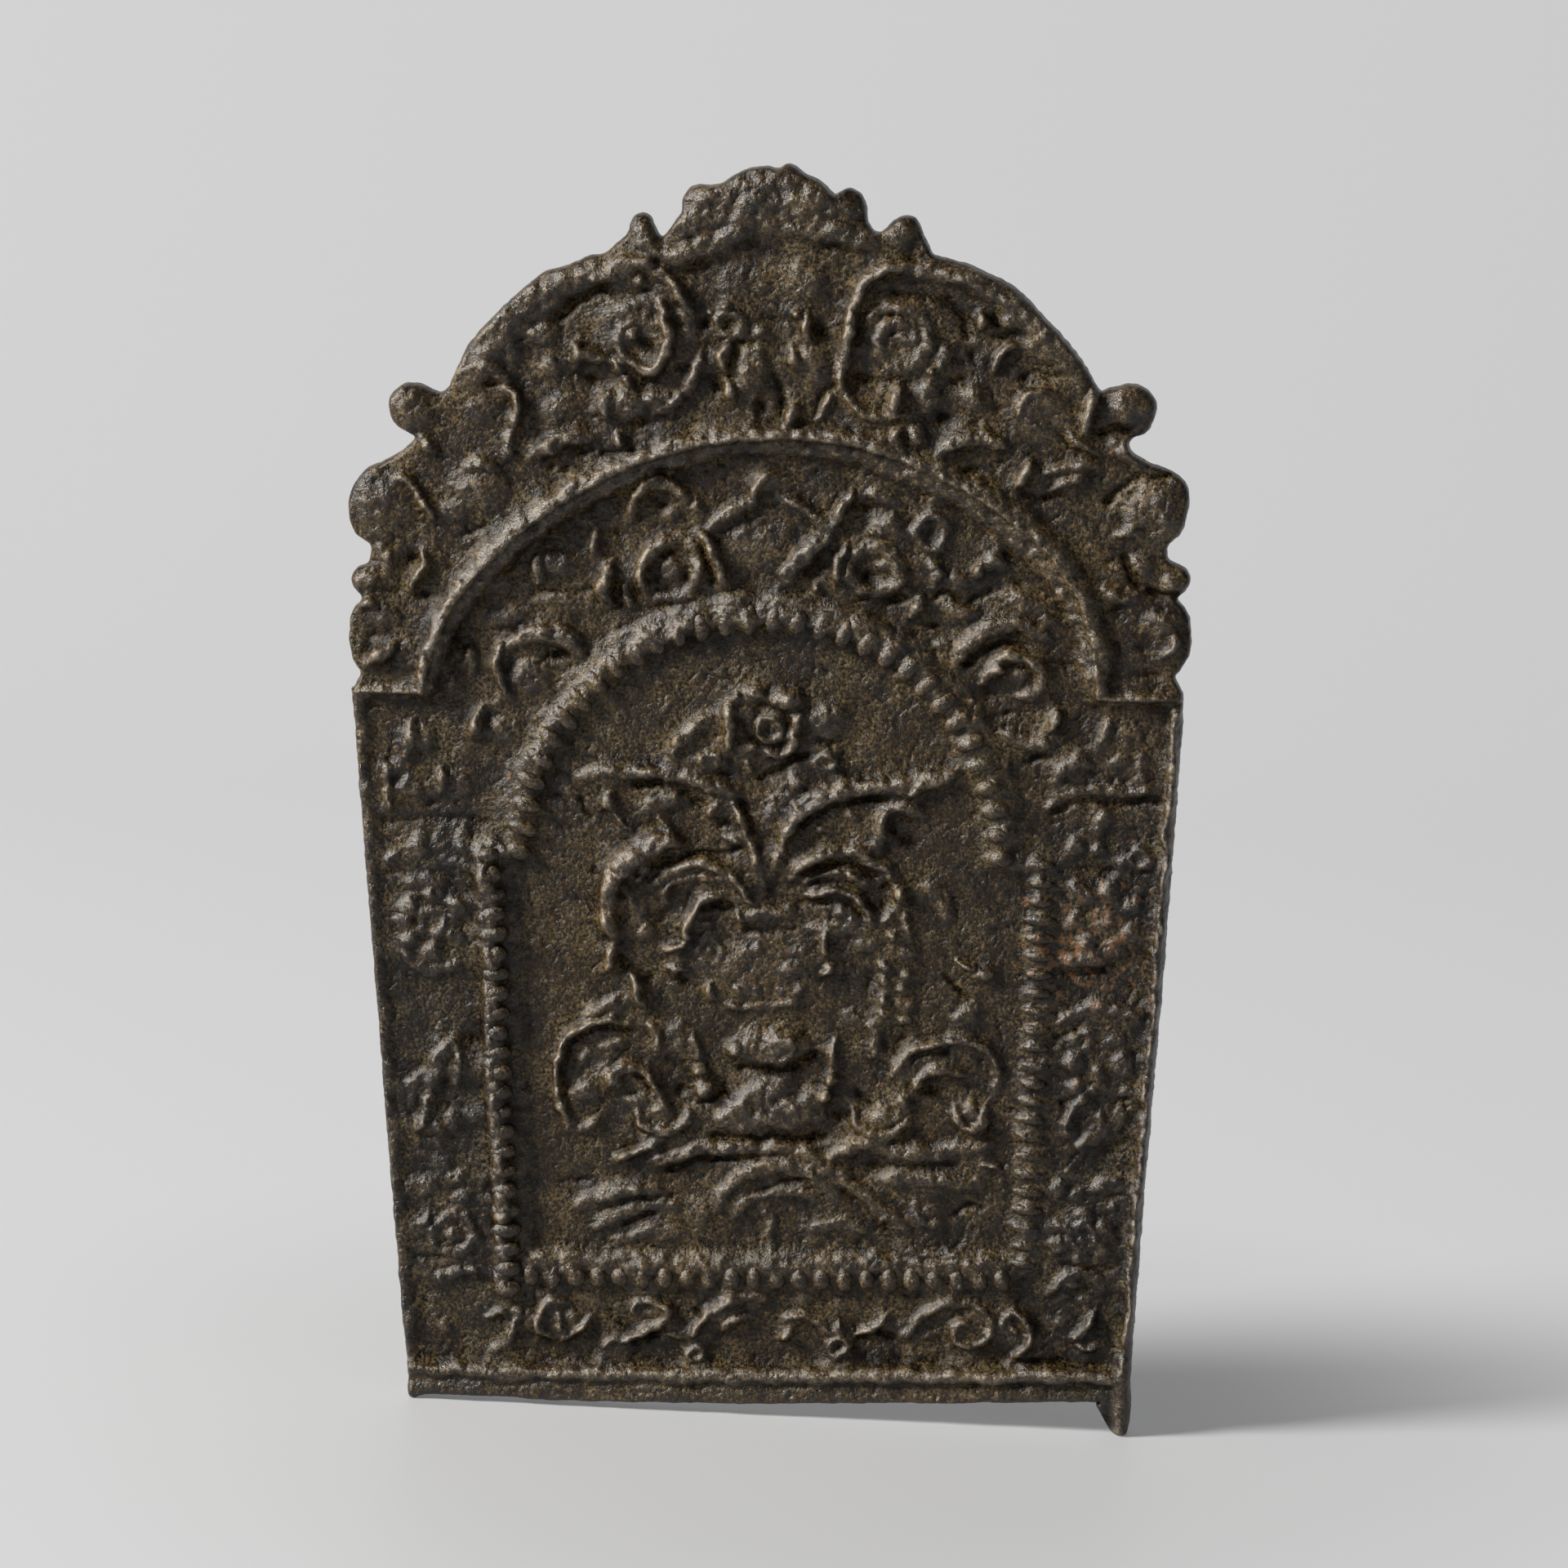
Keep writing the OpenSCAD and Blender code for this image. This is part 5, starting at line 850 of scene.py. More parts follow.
class Casting:
    """The finished field, its silhouette and the arrays that every cast piece is cut from."""

    def __init__(self, s):
        r = self.r = Relief(s.wander / MM)
        Z = r.plain[1]
        arch = np.vstack([curve(ARCH), [(ARCH[-1][0], SPRING), (ARCH[0][0], SPRING)]])
        self.under_arch = inside(arch, r.x, r.z)
        r.base[(Z > SPRING) & ~self.under_arch] = CREST_RISE
        r.base = soften(r.base, 3)
        r.h = r.base.copy()
        for draw, keep in ((crest, 1.0), (spandrel, 1.0), (mouldings, 1.0), (centre, 1.0), (sides, 0.8),
                           (frieze, 1.1), (edges, 1.0)):
            r.keep = keep
            draw(r)
        self.weather(s)
        self.trim()
        self.whose = None

    def weather(self, s):
        """Wear, the sand's unevenness, gas pits and scale, then the height that the plate allows."""
        r = self.r
        X, Z = r.plain
        # iron bridges narrow gaps between ridges, so that they stand on one common mass
        form = r.h - r.base
        form = np.maximum(form, soften(fill(form, 7), 12) * np.where(Z > 92, 0.30, 0.50))
        form = soften(form - np.minimum(0.7 * r.cuts, 0.9), 2)
        misrun = 0.32 * lumps(X, Z, 3.3, 26) + 0.28 * lumps(X, Z, 1.4, 27)
        form *= 1 + misrun * np.clip((Z - 7) / 3, 0.15, 1)
        swell = soften(form, 90)                              # iron that ran up round each group
        h = r.base + s.depth * (form * 0.90 + swell * 0.38)
        slope = np.abs(np.gradient(form)[0]) + np.abs(np.gradient(form)[1])
        busy = np.clip(soften(slope, 90) * 9, 0.5, 1.15)
        high = s.unevenness / MM
        h += high * busy * (0.9 * lumps(X, Z, 5.4, 21) + 0.6 * lumps(X, Z, 2.6, 22))
        # crusts of sand and scale: rounded lumps with sharp creases between them
        crust = 1.2 * np.abs(lumps(X, Z, 2.3, 23)) + 1.0 * np.abs(lumps(X, Z, 1.3, 28))
        crust = crust + 0.55 * np.abs(lumps(X, Z, 0.8, 29))
        patchy = np.clip(1.0 + 0.8 * lumps(X, Z, 6.0, 30), 0.35, 1.6)
        h += 0.5 * high * (crust - 0.6) * patchy * np.clip((Z - 4) / 5, 0.45, 1)
        # cracks follow the lines where a slow, wandering field changes its sign, here and there
        astray = X + 0.5 * lumps(X, Z, 1.1, 33), Z + 0.5 * lumps(X, Z, 1.1, 34)
        crack = 1 - np.abs(lumps(*astray, 2.6, 35)) * 9
        crack = np.clip(crack, 0, 1) * np.clip(lumps(X, Z, 3.1, 36) * 2.2, 0, 1)
        pits = np.clip(lumps(X, Z, 0.8, 31) - 0.45, 0, 1) + 0.9 * np.clip(lumps(X, Z, 1.6, 32) - 0.5, 0, 1)
        h -= s.pits / MM * (2.2 * pits + 1.2 * crack)
        pressed = WEAR_FROM + WEAR_GIVE * np.tanh((h - WEAR_FROM) / WEAR_GIVE)
        self.h = np.where(h > WEAR_FROM, pressed, h)
        # how far each place stands proud of what is round it and of the ground; the finish darkens the hollows with
        # it, partly as painted shade, and lightens the proud places, partly as painted sheen
        self.hollow = self.h - soften(self.h, 60) + 0.14 * (self.h - r.base - 0.8)

    def trim(self):
        """Snaps the grid to the silhouette and rounds the cast edges."""
        r = self.r
        line, out = outline_line()
        middle = inside(line, (r.x[1:] + r.x[:-1]) / 2, (r.z[1:] + r.z[:-1]) / 2)
        self.cells = no_pinch(middle)
        far, which = near(line, r, 2.0)
        touch_in = np.zeros(r.base.shape, bool)
        touch_out = np.zeros(r.base.shape, bool)
        for a in (0, 1):
            for b in (0, 1):
                view = slice(a, a + self.cells.shape[0]), slice(b, b + self.cells.shape[1])
                touch_in[view] |= self.cells
                touch_out[view] |= ~self.cells
        self.rim = touch_in & touch_out
        X, Z = (a.copy() for a in r.plain)
        X[self.rim], Z[self.rim] = line[which[self.rim]].T
        far[self.rim] = 0
        self.far = far

        def drop(radius):
            return radius - np.sqrt(np.maximum(radius**2 - np.clip(radius - far, 0, radius) ** 2, 0))

        self.front = FIELD - self.h + drop(FRONT_ROUND)
        wavy = 0.10 * (lumps(X, Z, 9.0, 41) + 1) + 0.05 * lumps(X, Z, 2.4, 42)
        self.back = BACK - np.clip(wavy, 0, 0.4) - drop(BACK_ROUND)
        # the cast wall of the silhouette: rows from front to back, slightly bulged and rough
        k = np.linspace(0, 1, WALL_ROWS + 1)[:, None, None]
        Y = self.front + (self.back - self.front) * k
        rough = 0.14 + 0.10 * lumps(X + 3 * Y, Z - 2 * Y, 1.1, 51)
        bulge = np.sin(np.pi * k) * rough * np.clip(Z / 3, 0, 1)
        side = out[which]
        self.wall = np.stack([X + side[..., 0] * bulge, Y, Z + side[..., 1] * bulge], -1)
        self.normals()

    def normals(self):
        """Smooth normals of the whole casting, so that the joints between its pieces don't show."""
        n = np.zeros(self.wall.shape)
        J, I = np.nonzero(self.cells)
        for layer, flip in ((0, 1), (WALL_ROWS, -1)):
            p = self.wall[layer]
            a, b, c, d = p[J, I], p[J, I + 1], p[J + 1, I + 1], p[J + 1, I]
            face = np.cross(c - a, d - b) * flip
            for u, v in ((0, 0), (0, 1), (1, 1), (1, 0)):
                np.add.at(n[layer], (J + u, I + v), face)
        for (ja, ia), (jb, ib) in self.edges(self.cells):
            a, b = self.wall[:, ja, ia], self.wall[:, jb, ib]
            face = np.cross(a[1:] - b[:-1], b[1:] - a[:-1])
            for k in range(WALL_ROWS):
                for at in ((k, ja, ia), (k, jb, ib), (k + 1, ja, ia), (k + 1, jb, ib)):
                    np.add.at(n, at, face[k])
        size = np.linalg.norm(n, axis=-1, keepdims=True)
        self.n = n / np.where(size > 0, size, 1)

    @staticmethod
    def edges(cells):
        """The border of a set of cells as runs of edges, walked with the cells on the left, seen from the front."""
        c = np.pad(cells, 1)
        J, I = np.nonzero(c[1:-1, 1:-1] & ~c[:-2, 1:-1])
        yield (J, I), (J, I + 1)
        J, I = np.nonzero(c[1:-1, 1:-1] & ~c[1:-1, 2:])
        yield (J, I + 1), (J + 1, I + 1)
        J, I = np.nonzero(c[1:-1, 1:-1] & ~c[2:, 1:-1])
        yield (J + 1, I + 1), (J + 1, I)
        J, I = np.nonzero(c[1:-1, 1:-1] & ~c[1:-1, :-2])
        yield (J + 1, I), (J, I)

    def places(self):
        """The cells of each piece; a later one takes them from the ones before. Cuts follow the mouldings,
        where a pattern maker would part it."""
        r = self.r
        x, z = np.meshgrid((r.x[1:] + r.x[:-1]) / 2, (r.z[1:] + r.z[:-1]) / 2)

        def cell(a):
            return (a[1:, 1:] + a[1:, :-1] + a[:-1, 1:] + a[:-1, :-1]) / 4

        def by(line, width):
            return cell(near(line, r, width + 1)[0]) < width

        frame_line = np.vstack([curve(COL_L)[::-1], curve(BEAD), curve(COL_R)])
        within = inside(np.vstack([frame_line, [(31, 19), (-32.6, 19)]]), x[0], z[:, 0])
        arch = cell(self.under_arch.astype(float)) > 0.5
        crested = (z > SPRING) & ~arch
        return [
            ("spandrel", ~crested),
            ("crest_middle", crested),
            ("crest_left", crested & (x < -10.8)),
            ("crest_right", crested & (x > 10.6)),
            ("side_left", ~within & (x < -30) & (z < 76)),
            ("side_right", ~within & (x > 28) & (z < 76)),
            ("vase", within & (z < 76.5)),
            ("flowers", within & (z >= 76.5)),
            ("scroll_left", within & (x < -10.6) & (z < 70)),
            ("scroll_right", within & (x > 10.4) & (z < 70)),
            ("ground", within & (z < 36.6)),
            ("arch_moulding", by(ARCH, 2.2) & (z > SPRING)),
            ("bead_arch", (by(BEAD, 1.9) | by(OUTER_BAND, 1.8)) & (z > 71.2)),
            ("rib_column_left", by(COL_L, 2.4) & (z < 73.4)),
            ("rib_column_right", by(COL_R, 2.4) & (z < 73.0)),
            ("bead_row", by(ROW, 1.9) & (abs(x) < 30.0)),
            ("frieze", z < 17.2),
            ("rim_left", by(RIM_LEFT, 1.5) & (x < 0) & (z < 92.6)),
            ("rim_right", by(RIM_RIGHT, 1.6) & (x > 0) & (z < 92.6)),
            ("ledge_left", by(LEDGE_LEFT, 1.2)),
            ("ledge_right", by(LEDGE_RIGHT, 1.3)),
            ("base_moulding", z < 7.9),
            ("foot_right", (x > 39.6) & (z < 3.9)),
        ]

    def owner(self):
        """The number of the piece that each cell belongs to, -1 outside."""
        if self.whose is None:
            self.whose = np.full(self.cells.shape, -1)
            self.names = []
            for k, (name, where) in enumerate(self.places()):
                self.names.append(name)
                self.whose[where & self.cells] = k
            for _ in range(3):
                for k in range(len(self.names)):
                    self.whose[no_pinch(self.whose == k, self.cells)] = k
        return self.whose

    def cut(self, name):
        """One closed block of the casting as vertices, faces, a normal per corner and the hollow map."""
        here = self.owner() == self.names.index(name)
        verts, ids, hollow = [], {}, []

        def vert(layer, j, i):
            key = layer, j, i
            if key not in ids:
                ids[key] = len(verts)
                verts.append(self.wall[layer, j, i])
                hollow.append(self.hollow[j, i] if layer == 0 else 0.0)
            return ids[key]

        faces, smooth = [], []

        def add(keys, normal=None):
            faces.append([vert(*k) for k in keys])
            smooth.extend([self.n[k] for k in keys] if normal is None else [normal] * len(keys))

        J, I = np.nonzero(here)
        for j, i in zip(J.tolist(), I.tolist()):
            add([(0, j, i), (0, j, i + 1), (0, j + 1, i + 1), (0, j + 1, i)])
        # the border: a cast wall where it is the silhouette, else one plain cut
        used = set()
        rows = WALL_ROWS
        for (ja, ia), (jb, ib) in self.edges(here):
            for e in zip(ja.tolist(), ia.tolist(), jb.tolist(), ib.tolist()):
                a, b = e[:2], e[2:]
                used.update((a, b))
                left = b[1] - a[1], b[0] - a[0]         # walking direction, x then z
                if left[0]:                             # the cell on the other side of the edge
                    other = a[0] - int(left[0] > 0), min(a[1], b[1])
                else:
                    other = min(a[0], b[0]), a[1] - int(left[1] < 0)
                on_grid = all(0 <= n < size for n, size in zip(other, self.cells.shape))
                if not (on_grid and self.cells[other]):
                    for k in range(rows):
                        add([(k + 1, *a), (k + 1, *b), (k, *b), (k, *a)])
                else:
                    keys = [(0, *b), (0, *a)]
                    if self.rim[a]:
                        keys += [(k, *a) for k in range(1, rows)]
                    keys += [(rows, *a), (rows, *b)]
                    if self.rim[b]:
                        keys += [(k, *b) for k in range(rows - 1, 0, -1)]
                    add(keys, np.array([left[1], 0, -left[0]], float))
        # the back: 1 mm blocks, with single cells along the borders
        step = BACK_STEP
        whole = np.zeros(here.shape, bool)
        blocks = []
        bj, bi = here.shape[0] // step, here.shape[1] // step
        trimmed = here[:bj * step, :bi * step].reshape(bj, step, bi, step).all((1, 3))
        for j, i in np.argwhere(trimmed):
            j, i = int(j) * step, int(i) * step
            if self.far[j:j + step + 1, i:i + step + 1].min() > 0.7:
                whole[j:j + step, i:i + step] = True
                blocks.append((j, i))
        for j, i in zip(*(a.tolist() for a in np.nonzero(here & ~whole))):
            used.update(((j, i), (j, i + 1), (j + 1, i + 1), (j + 1, i)))
            add([(rows, j, i), (rows, j + 1, i), (rows, j + 1, i + 1), (rows, j, i + 1)])
        for j, i in blocks:
            walk = range(step)
            ring = [(j + k, i) for k in walk] + [(j + step, i + k) for k in walk]
            ring += [(j + step - k, i + step) for k in walk] + [(j, i + step - k) for k in walk]
            add([(rows, *p) for n, p in enumerate(ring) if n % step == 0 or p in used])
        return verts, faces, smooth, hollow


def no_pinch(cells, room=None):
    """Fills or parts cells that touch only by a corner, so that no edge carries four faces."""
    c = cells.copy()
    for _ in range(4):
        a, b, d, e = c[:-1, :-1], c[:-1, 1:], c[1:, :-1], c[1:, 1:]
        for cross, side in ((a & e & ~b & ~d, slice(1, None)), (b & d & ~a & ~e, slice(None, -1))):
            at = slice(None, -1), side
            c[at] |= cross if room is None else cross & room[at]
    return c


_made = {}


def casting():
    """The casting for the present sizes. It is worked out once and shared by every piece."""
    s = bpy.context.scene.fireback_casting
    key = (s.wander, s.depth, s.unevenness, s.pits)
    if key not in _made:
        _made.clear()
        _made[key] = Casting(s)
    return _made[key]


def cast_piece(name, *nodes):
    """Makes one cast piece as a mesh in place, in metres, and gives it its finish and its CAD nodes."""
    verts, faces, smooth, hollow = casting().cut(name)
    mesh = bpy.data.meshes.new(name)
    mesh.from_pydata((np.array(verts) * MM).tolist(), [], faces)
    mesh.polygons.foreach_set("use_smooth", [True] * len(faces))
    mesh.attributes.new("hollow", "FLOAT", "POINT").data.foreach_set("value", np.array(hollow, np.float32))
    mesh.normals_split_custom_set(np.array(smooth).tolist())
    piece = bpy.data.objects.new("cast_" + name, mesh)
    bpy.context.collection.objects.link(piece)
    return settle(piece, nodes)


def settle(piece, nodes):
    """Gives a piece its finish and its body, and hides the CAD nodes that it takes the place of."""
    piece.data.materials.clear()
    piece.data.materials.append(sand_cast_iron())
    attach(piece, "root")
    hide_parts(*nodes)
    return piece


# ---------------------------------------------------------------- beads and ribs, by Geometry Nodes

def bead_tree():
    """Cast beads along a line: even steps, each bead a little different, run together with its neighbours."""
    tree = bpy.data.node_groups.new("Cast beads", "GeometryNodeTree")
    sockets = {"Line": "Geometry", "Count": "Int", "Along": "Float", "Across": "Float", "Height": "Float",
               "Unevenness": "Float", "Lean": "Float", "Seed": "Int", "Finish": "Material"}
    for name, kind in sockets.items():
        tree.interface.new_socket(name, in_out="INPUT", socket_type="NodeSocket" + kind)
    tree.interface.new_socket("Beads", in_out="OUTPUT", socket_type="NodeSocketGeometry")
    get = node(tree, "NodeGroupInput")
    line = node(tree, "GeometryNodeMeshToCurve", {"Mesh": get["Line"]})
    points = node(tree, "GeometryNodeCurveToPoints", {"Curve": line["Curve"], "Count": get["Count"]}, mode="COUNT")
    aim = node(tree, "FunctionNodeAlignRotationToVector", {"Vector": points["Tangent"]}, axis="X", pivot_axis="Y")
    lean = node(tree, "ShaderNodeCombineXYZ", {"Y": get["Lean"]})
    turn = node(tree, "FunctionNodeRotateRotation", {"Rotation": aim["Rotation"], "Rotate By": lean["Vector"]},
                rotation_space="LOCAL")
    size = node(tree, "ShaderNodeCombineXYZ", {"X": get["Along"], "Y": get["Height"], "Z": get["Across"]})
    vary = node(tree, "FunctionNodeRandomValue",
                {"Min": (0.86, 0.84, 0.84), "Max": (1.14, 1.08, 1.10), "Seed": get["Seed"]}, data_type="FLOAT_VECTOR")
    scale = node(tree, "ShaderNodeVectorMath", {0: size["Vector"], 1: vary["Value"]}, operation="MULTIPLY")
    ball = node(tree, "GeometryNodeMeshUVSphere", {"Segments": 14, "Rings": 9, "Radius": 0.5})
    set_out = node(tree, "GeometryNodeInstanceOnPoints", {"Points": points["Points"], "Instance": ball["Mesh"],
                                                           "Rotation": turn["Rotation"], "Scale": scale["Vector"]})
    real = node(tree, "GeometryNodeRealizeInstances", {"Geometry": set_out["Instances"]})
    place = node(tree, "GeometryNodeInputPosition")
    rough = node(tree, "ShaderNodeTexNoise", {"Vector": place["Position"], "Scale": 900.0, "Detail": 2.0})
    centred = node(tree, "ShaderNodeVectorMath", {0: rough["Color"], 1: (0.5, 0.5, 0.5)}, operation="SUBTRACT")
    push = node(tree, "ShaderNodeVectorMath", {0: centred["Vector"], "Scale": get["Unevenness"]}, operation="SCALE")
    moved = node(tree, "GeometryNodeSetPosition", {"Geometry": real["Geometry"], "Offset": push["Vector"]})
    # beads count as standing proud, so the finish lightens them as wear and painted sheen
    mark = node(tree, "GeometryNodeStoreNamedAttribute",
                {"Geometry": moved["Geometry"], "Name": "hollow", "Value": 0.22},
                data_type="FLOAT", domain="POINT")
    soft = node(tree, "GeometryNodeSetShadeSmooth", {"Geometry": mark["Geometry"]})
    done = node(tree, "GeometryNodeSetMaterial", {"Geometry": soft["Geometry"], "Material": get["Finish"]})
    node(tree, "NodeGroupOutput", {"Beads": done["Geometry"]})
    return tree


def bead_piece(name, node_name, lean=0.0, seed=1):
    """One run of beads or ribs, sunk in the band that carries it."""
    s = bpy.context.scene.fireback_beads
    c = bpy.context.scene.fireback_casting
    path, pitch, across, wide, high = RUNS[name]
    line = curve(path, gap=0.25)
    top = FIELD - high * c.depth * s.stand
    thick = s.thickness / MM
    verts = [(x * MM, (top + thick / 2) * MM, z * MM) for x, z in line]
    mesh = bpy.data.meshes.new(name + "_line")
    mesh.from_pydata(verts, [(k, k + 1) for k in range(len(verts) - 1)], [])
    piece = bpy.data.objects.new("cast_" + name, mesh)
    bpy.context.collection.objects.link(piece)
    tree = bpy.data.node_groups.get("Cast beads") or bead_tree()
    work = piece.modifiers.new("beads", "NODES")
    work.node_group = tree
    sockets = {i.name: i.identifier for i in tree.interface.items_tree if i.in_out == "INPUT"}
    values = {"Count": len(along(path, pitch)), "Along": wide * s.fullness * MM, "Across": across * s.fullness * MM,
              "Height": thick * MM, "Unevenness": s.roughness, "Lean": lean, "Seed": seed, "Finish": sand_cast_iron()}
    for key, value in values.items():
        work[sockets[key]] = value
    graph = bpy.context.evaluated_depsgraph_get()
    made = bpy.data.meshes.new_from_object(piece.evaluated_get(graph), preserve_all_data_layers=True, depsgraph=graph)
    piece.modifiers.remove(work)
    piece.data = made
    made.name = name
    return settle(piece, [node_name])


# ---------------------------------------------------------------- finish

def linear(text):
    """An sRGB hex colour as linear RGB."""
    values = [int(text[k:k + 2], 16) / 255 for k in (0, 2, 4)]
    return tuple(v / 12.92 if v <= 0.04045 else ((v + 0.055) / 1.055) ** 2.4 for v in values)


def node(tree, kind, inputs=None, **settings):
    """Adds a node with its settings, and links or sets its inputs. Returns its outputs by name."""
    n = tree.nodes.new(kind)
    for key, value in settings.items():
        setattr(n, key, value)
    for key, value in (inputs or {}).items():
        sockets = [i for i in n.inputs if i.name == key and i.enabled] if isinstance(key, str) else [n.inputs[key]]
        if not sockets:
            raise RuntimeError(f"{kind} has no input {key}")
        if isinstance(value, bpy.types.NodeSocket):
            tree.links.new(value, sockets[0])
        else:
            sockets[0].default_value = value
    return {o.name: o for o in n.outputs if o.enabled} | {"node": n}


def pale_board(s):
    """Painted board, matt and pale, under and behind the plate. To the camera and in gloss it is partly
    its own plain colour, so that it stays as even as the photograph's, and it keeps the shadow."""
    m = bpy.data.materials.new("pale_board")
    m.use_nodes = True
    t = m.node_tree
    t.nodes.clear()
    path = node(t, "ShaderNodeLightPath")
    seen = node(t, "ShaderNodeMath", {0: path["Is Camera Ray"], 1: path["Is Glossy Ray"]},
                operation="MAXIMUM")["Value"]
    seen = node(t, "ShaderNodeMath", {0: seen, 1: path["Is Transmission Ray"]}, operation="MAXIMUM")["Value"]
    place = node(t, "ShaderNodeTexCoord")["Object"]
    away = node(t, "ShaderNodeVectorMath", {0: place}, operation="LENGTH")["Value"]
    away = node(t, "ShaderNodeMapRange", {"Value": away, "From Min": 0.05, "From Max": 0.14, "To Min": 0.3},
                interpolation_type="SMOOTHSTEP")["Result"]
    away = node(t, "ShaderNodeMath", {0: away, 1: s.evenness}, operation="MULTIPLY")["Value"]
    even = node(t, "ShaderNodeMath", {0: seen, 1: away}, operation="MULTIPLY")["Value"]
    board = node(t, "ShaderNodeBsdfPrincipled",
                 {"Base Color": (*s.floor_colour, 1), "Roughness": 0.5, "Specular IOR Level": 0.3})
    plain = node(t, "ShaderNodeEmission", {"Color": (*s.backdrop_colour, 1), "Strength": 1.0})
    both = node(t, "ShaderNodeMixShader", {0: even, 1: board["BSDF"], 2: plain["Emission"]})
    node(t, "ShaderNodeOutputMaterial", {"Surface": both["Shader"]})
    return m


def sand_cast_iron():
    """Old sand-cast grey iron, oxidised dark brown and handled, with dust in the hollows.
    The oxide gives a near black, dull ground, darker still in the hollows, partly soot and partly painted shade; the
    high places are worn to a whitish, grainy sheen that is partly a painted highlight."""
    found = bpy.data.materials.get("sand_cast_iron")
    if found:
        return found
    s = bpy.context.scene.fireback_finish
    m = bpy.data.materials.new("sand_cast_iron")
    m.use_nodes = True
    t = m.node_tree
    t.nodes.clear()
    place = node(t, "ShaderNodeTexCoord")["Object"]
    mm = node(t, "ShaderNodeVectorMath", {0: place, "Scale": 1000.0}, operation="SCALE")["Vector"]
    hollow = node(t, "ShaderNodeAttribute", attribute_name="hollow")["Fac"]
    # the size of each pattern in mm, its octaves and their roughness: moulding sand, crumbs, mottling and
    # patches, then drifts of dust, single clinging grains and rust blooms
    sand, crust, mottle, patches, drifts, cling, bloom = [
        node(t, "ShaderNodeTexNoise", {"Vector": mm, "Scale": 1 / size, "Detail": detail, "Roughness": rough})["Fac"]
        for size, detail, rough in ((0.40, 3.0, 0.65), (0.90, 5.0, 0.75), (2.1, 6.0, 0.72), (15.0, 3.0, 0.5),
                                    (6.0, 5.0, 0.72), (0.40, 2.0, 0.6), (1.3, 3.0, 0.65))]
    # how light the iron is: lighter where it stands proud, partly wear and partly painted sheen, and darker where it
    # is hollow, partly soot and partly painted shade in the recesses
    light = node(t, "ShaderNodeMath", {0: hollow, 1: 0.40, 2: 0.47}, operation="MULTIPLY_ADD")["Value"]
    for part, share in ((mottle, 1.00), (crust, 1.45), (sand, 1.35), (patches, 0.50)):
        light = node(t, "ShaderNodeMath", {0: part, 1: share, 2: light}, operation="MULTIPLY_ADD")["Value"]
    light = node(t, "ShaderNodeMath", {0: light, 1: 2.15}, operation="SUBTRACT")["Value"]
    # the two side panels, low and sheltered by their rims, are sootier than the middle
    aside = node(t, "ShaderNodeVectorMath", {0: mm, 1: (1.0, 0.0, 0.0)}, operation="MULTIPLY")["Vector"]
    aside = node(t, "ShaderNodeVectorMath", {0: aside}, operation="LENGTH")["Value"]
    aside = node(t, "ShaderNodeMapRange",
                 {"Value": aside, "From Min": 28.0, "From Max": 35.0, "To Max": 0.16})["Result"]
    above = node(t, "ShaderNodeSeparateXYZ", {"Vector": mm})["Z"]
    above = node(t, "ShaderNodeMapRange",
                 {"Value": above, "From Min": 70.0, "From Max": 84.0, "To Min": 1.0, "To Max": 0.0})["Result"]
    soot = node(t, "ShaderNodeMath", {0: aside, 1: above}, operation="MULTIPLY")["Value"]
    light = node(t, "ShaderNodeMath", {0: light, 1: soot}, operation="SUBTRACT")["Value"]
    ramp = node(t, "ShaderNodeValToRGB", {"Fac": light})
    stops = ramp["node"].color_ramp.elements
    tones = {0.0: "030201", 0.26: "100A03", 0.45: "201607", 0.62: "33260F", 0.80: "45371F", 1.0: "6A5A40"}
    for at, colour in tones.items():
        stop = stops[0] if at == 0 else stops[-1] if at == 1 else stops.new(at)
        stop.position = at
        stop.color = (*linear(colour), 1)
    # fine house dust, ochre, in hollows and on the ground between the ornaments
    flat = node(t, "ShaderNodeMath", {0: crust, 1: 0.7, 2: hollow}, operation="MULTIPLY_ADD")["Value"]
    flat = node(t, "ShaderNodeMapRange", {"Value": flat, "From Min": 0.75, "From Max": 0.25})["Result"]
    drifts = node(t, "ShaderNodeMapRange", {"Value": drifts, "From Min": 0.45, "From Max": 0.60})["Result"]
    grains = node(t, "ShaderNodeMapRange", {"Value": sand, "From Min": 0.42, "From Max": 0.60})["Result"]
    dusty = flat
    for part in (drifts, grains, 0.45):
        dusty = node(t, "ShaderNodeMath", {0: dusty, 1: part}, operation="MULTIPLY")["Value"]
    # single grains of pale sand, 0.2 to 0.5 mm across, cling everywhere
    cling = node(t, "ShaderNodeMath", {0: drifts, 1: 0.05, 2: cling}, operation="MULTIPLY_ADD")["Value"]
    cling = node(t, "ShaderNodeMapRange", {"Value": cling, "From Min": 0.71, "From Max": 0.77})["Result"]
    dusty = node(t, "ShaderNodeMath", {0: dusty, 1: cling}, operation="MAXIMUM")["Value"]
    dusty = node(t, "ShaderNodeMath", {0: dusty, 1: s.dust}, operation="MULTIPLY")["Value"]
    dusted = node(t, "ShaderNodeMix", {"Factor": dusty, "A": ramp["Color"], "B": (*s.dust_colour, 1)},
                  data_type="RGBA")["Result"]
    # red rust: small blooms all over, and a larger one on the right side panel
    there = node(t, "ShaderNodeVectorMath", {0: mm, 1: (39.5, 0.0, 62.0)}, operation="DISTANCE")["Value"]
    there = node(t, "ShaderNodeMapRange",
                 {"Value": there, "From Min": 12.0, "From Max": 3.0, "To Max": 0.16})["Result"]
    bloom = node(t, "ShaderNodeMath", {0: bloom, 1: there}, operation="ADD")["Value"]
    rusty = node(t, "ShaderNodeMapRange",
                 {"Value": bloom, "From Min": 0.64, "From Max": 0.76, "To Max": s.rust})["Result"]
    colour = node(t, "ShaderNodeMix", {"Factor": rusty, "A": dusted, "B": (*s.rust_colour, 1)},
                  data_type="RGBA")["Result"]
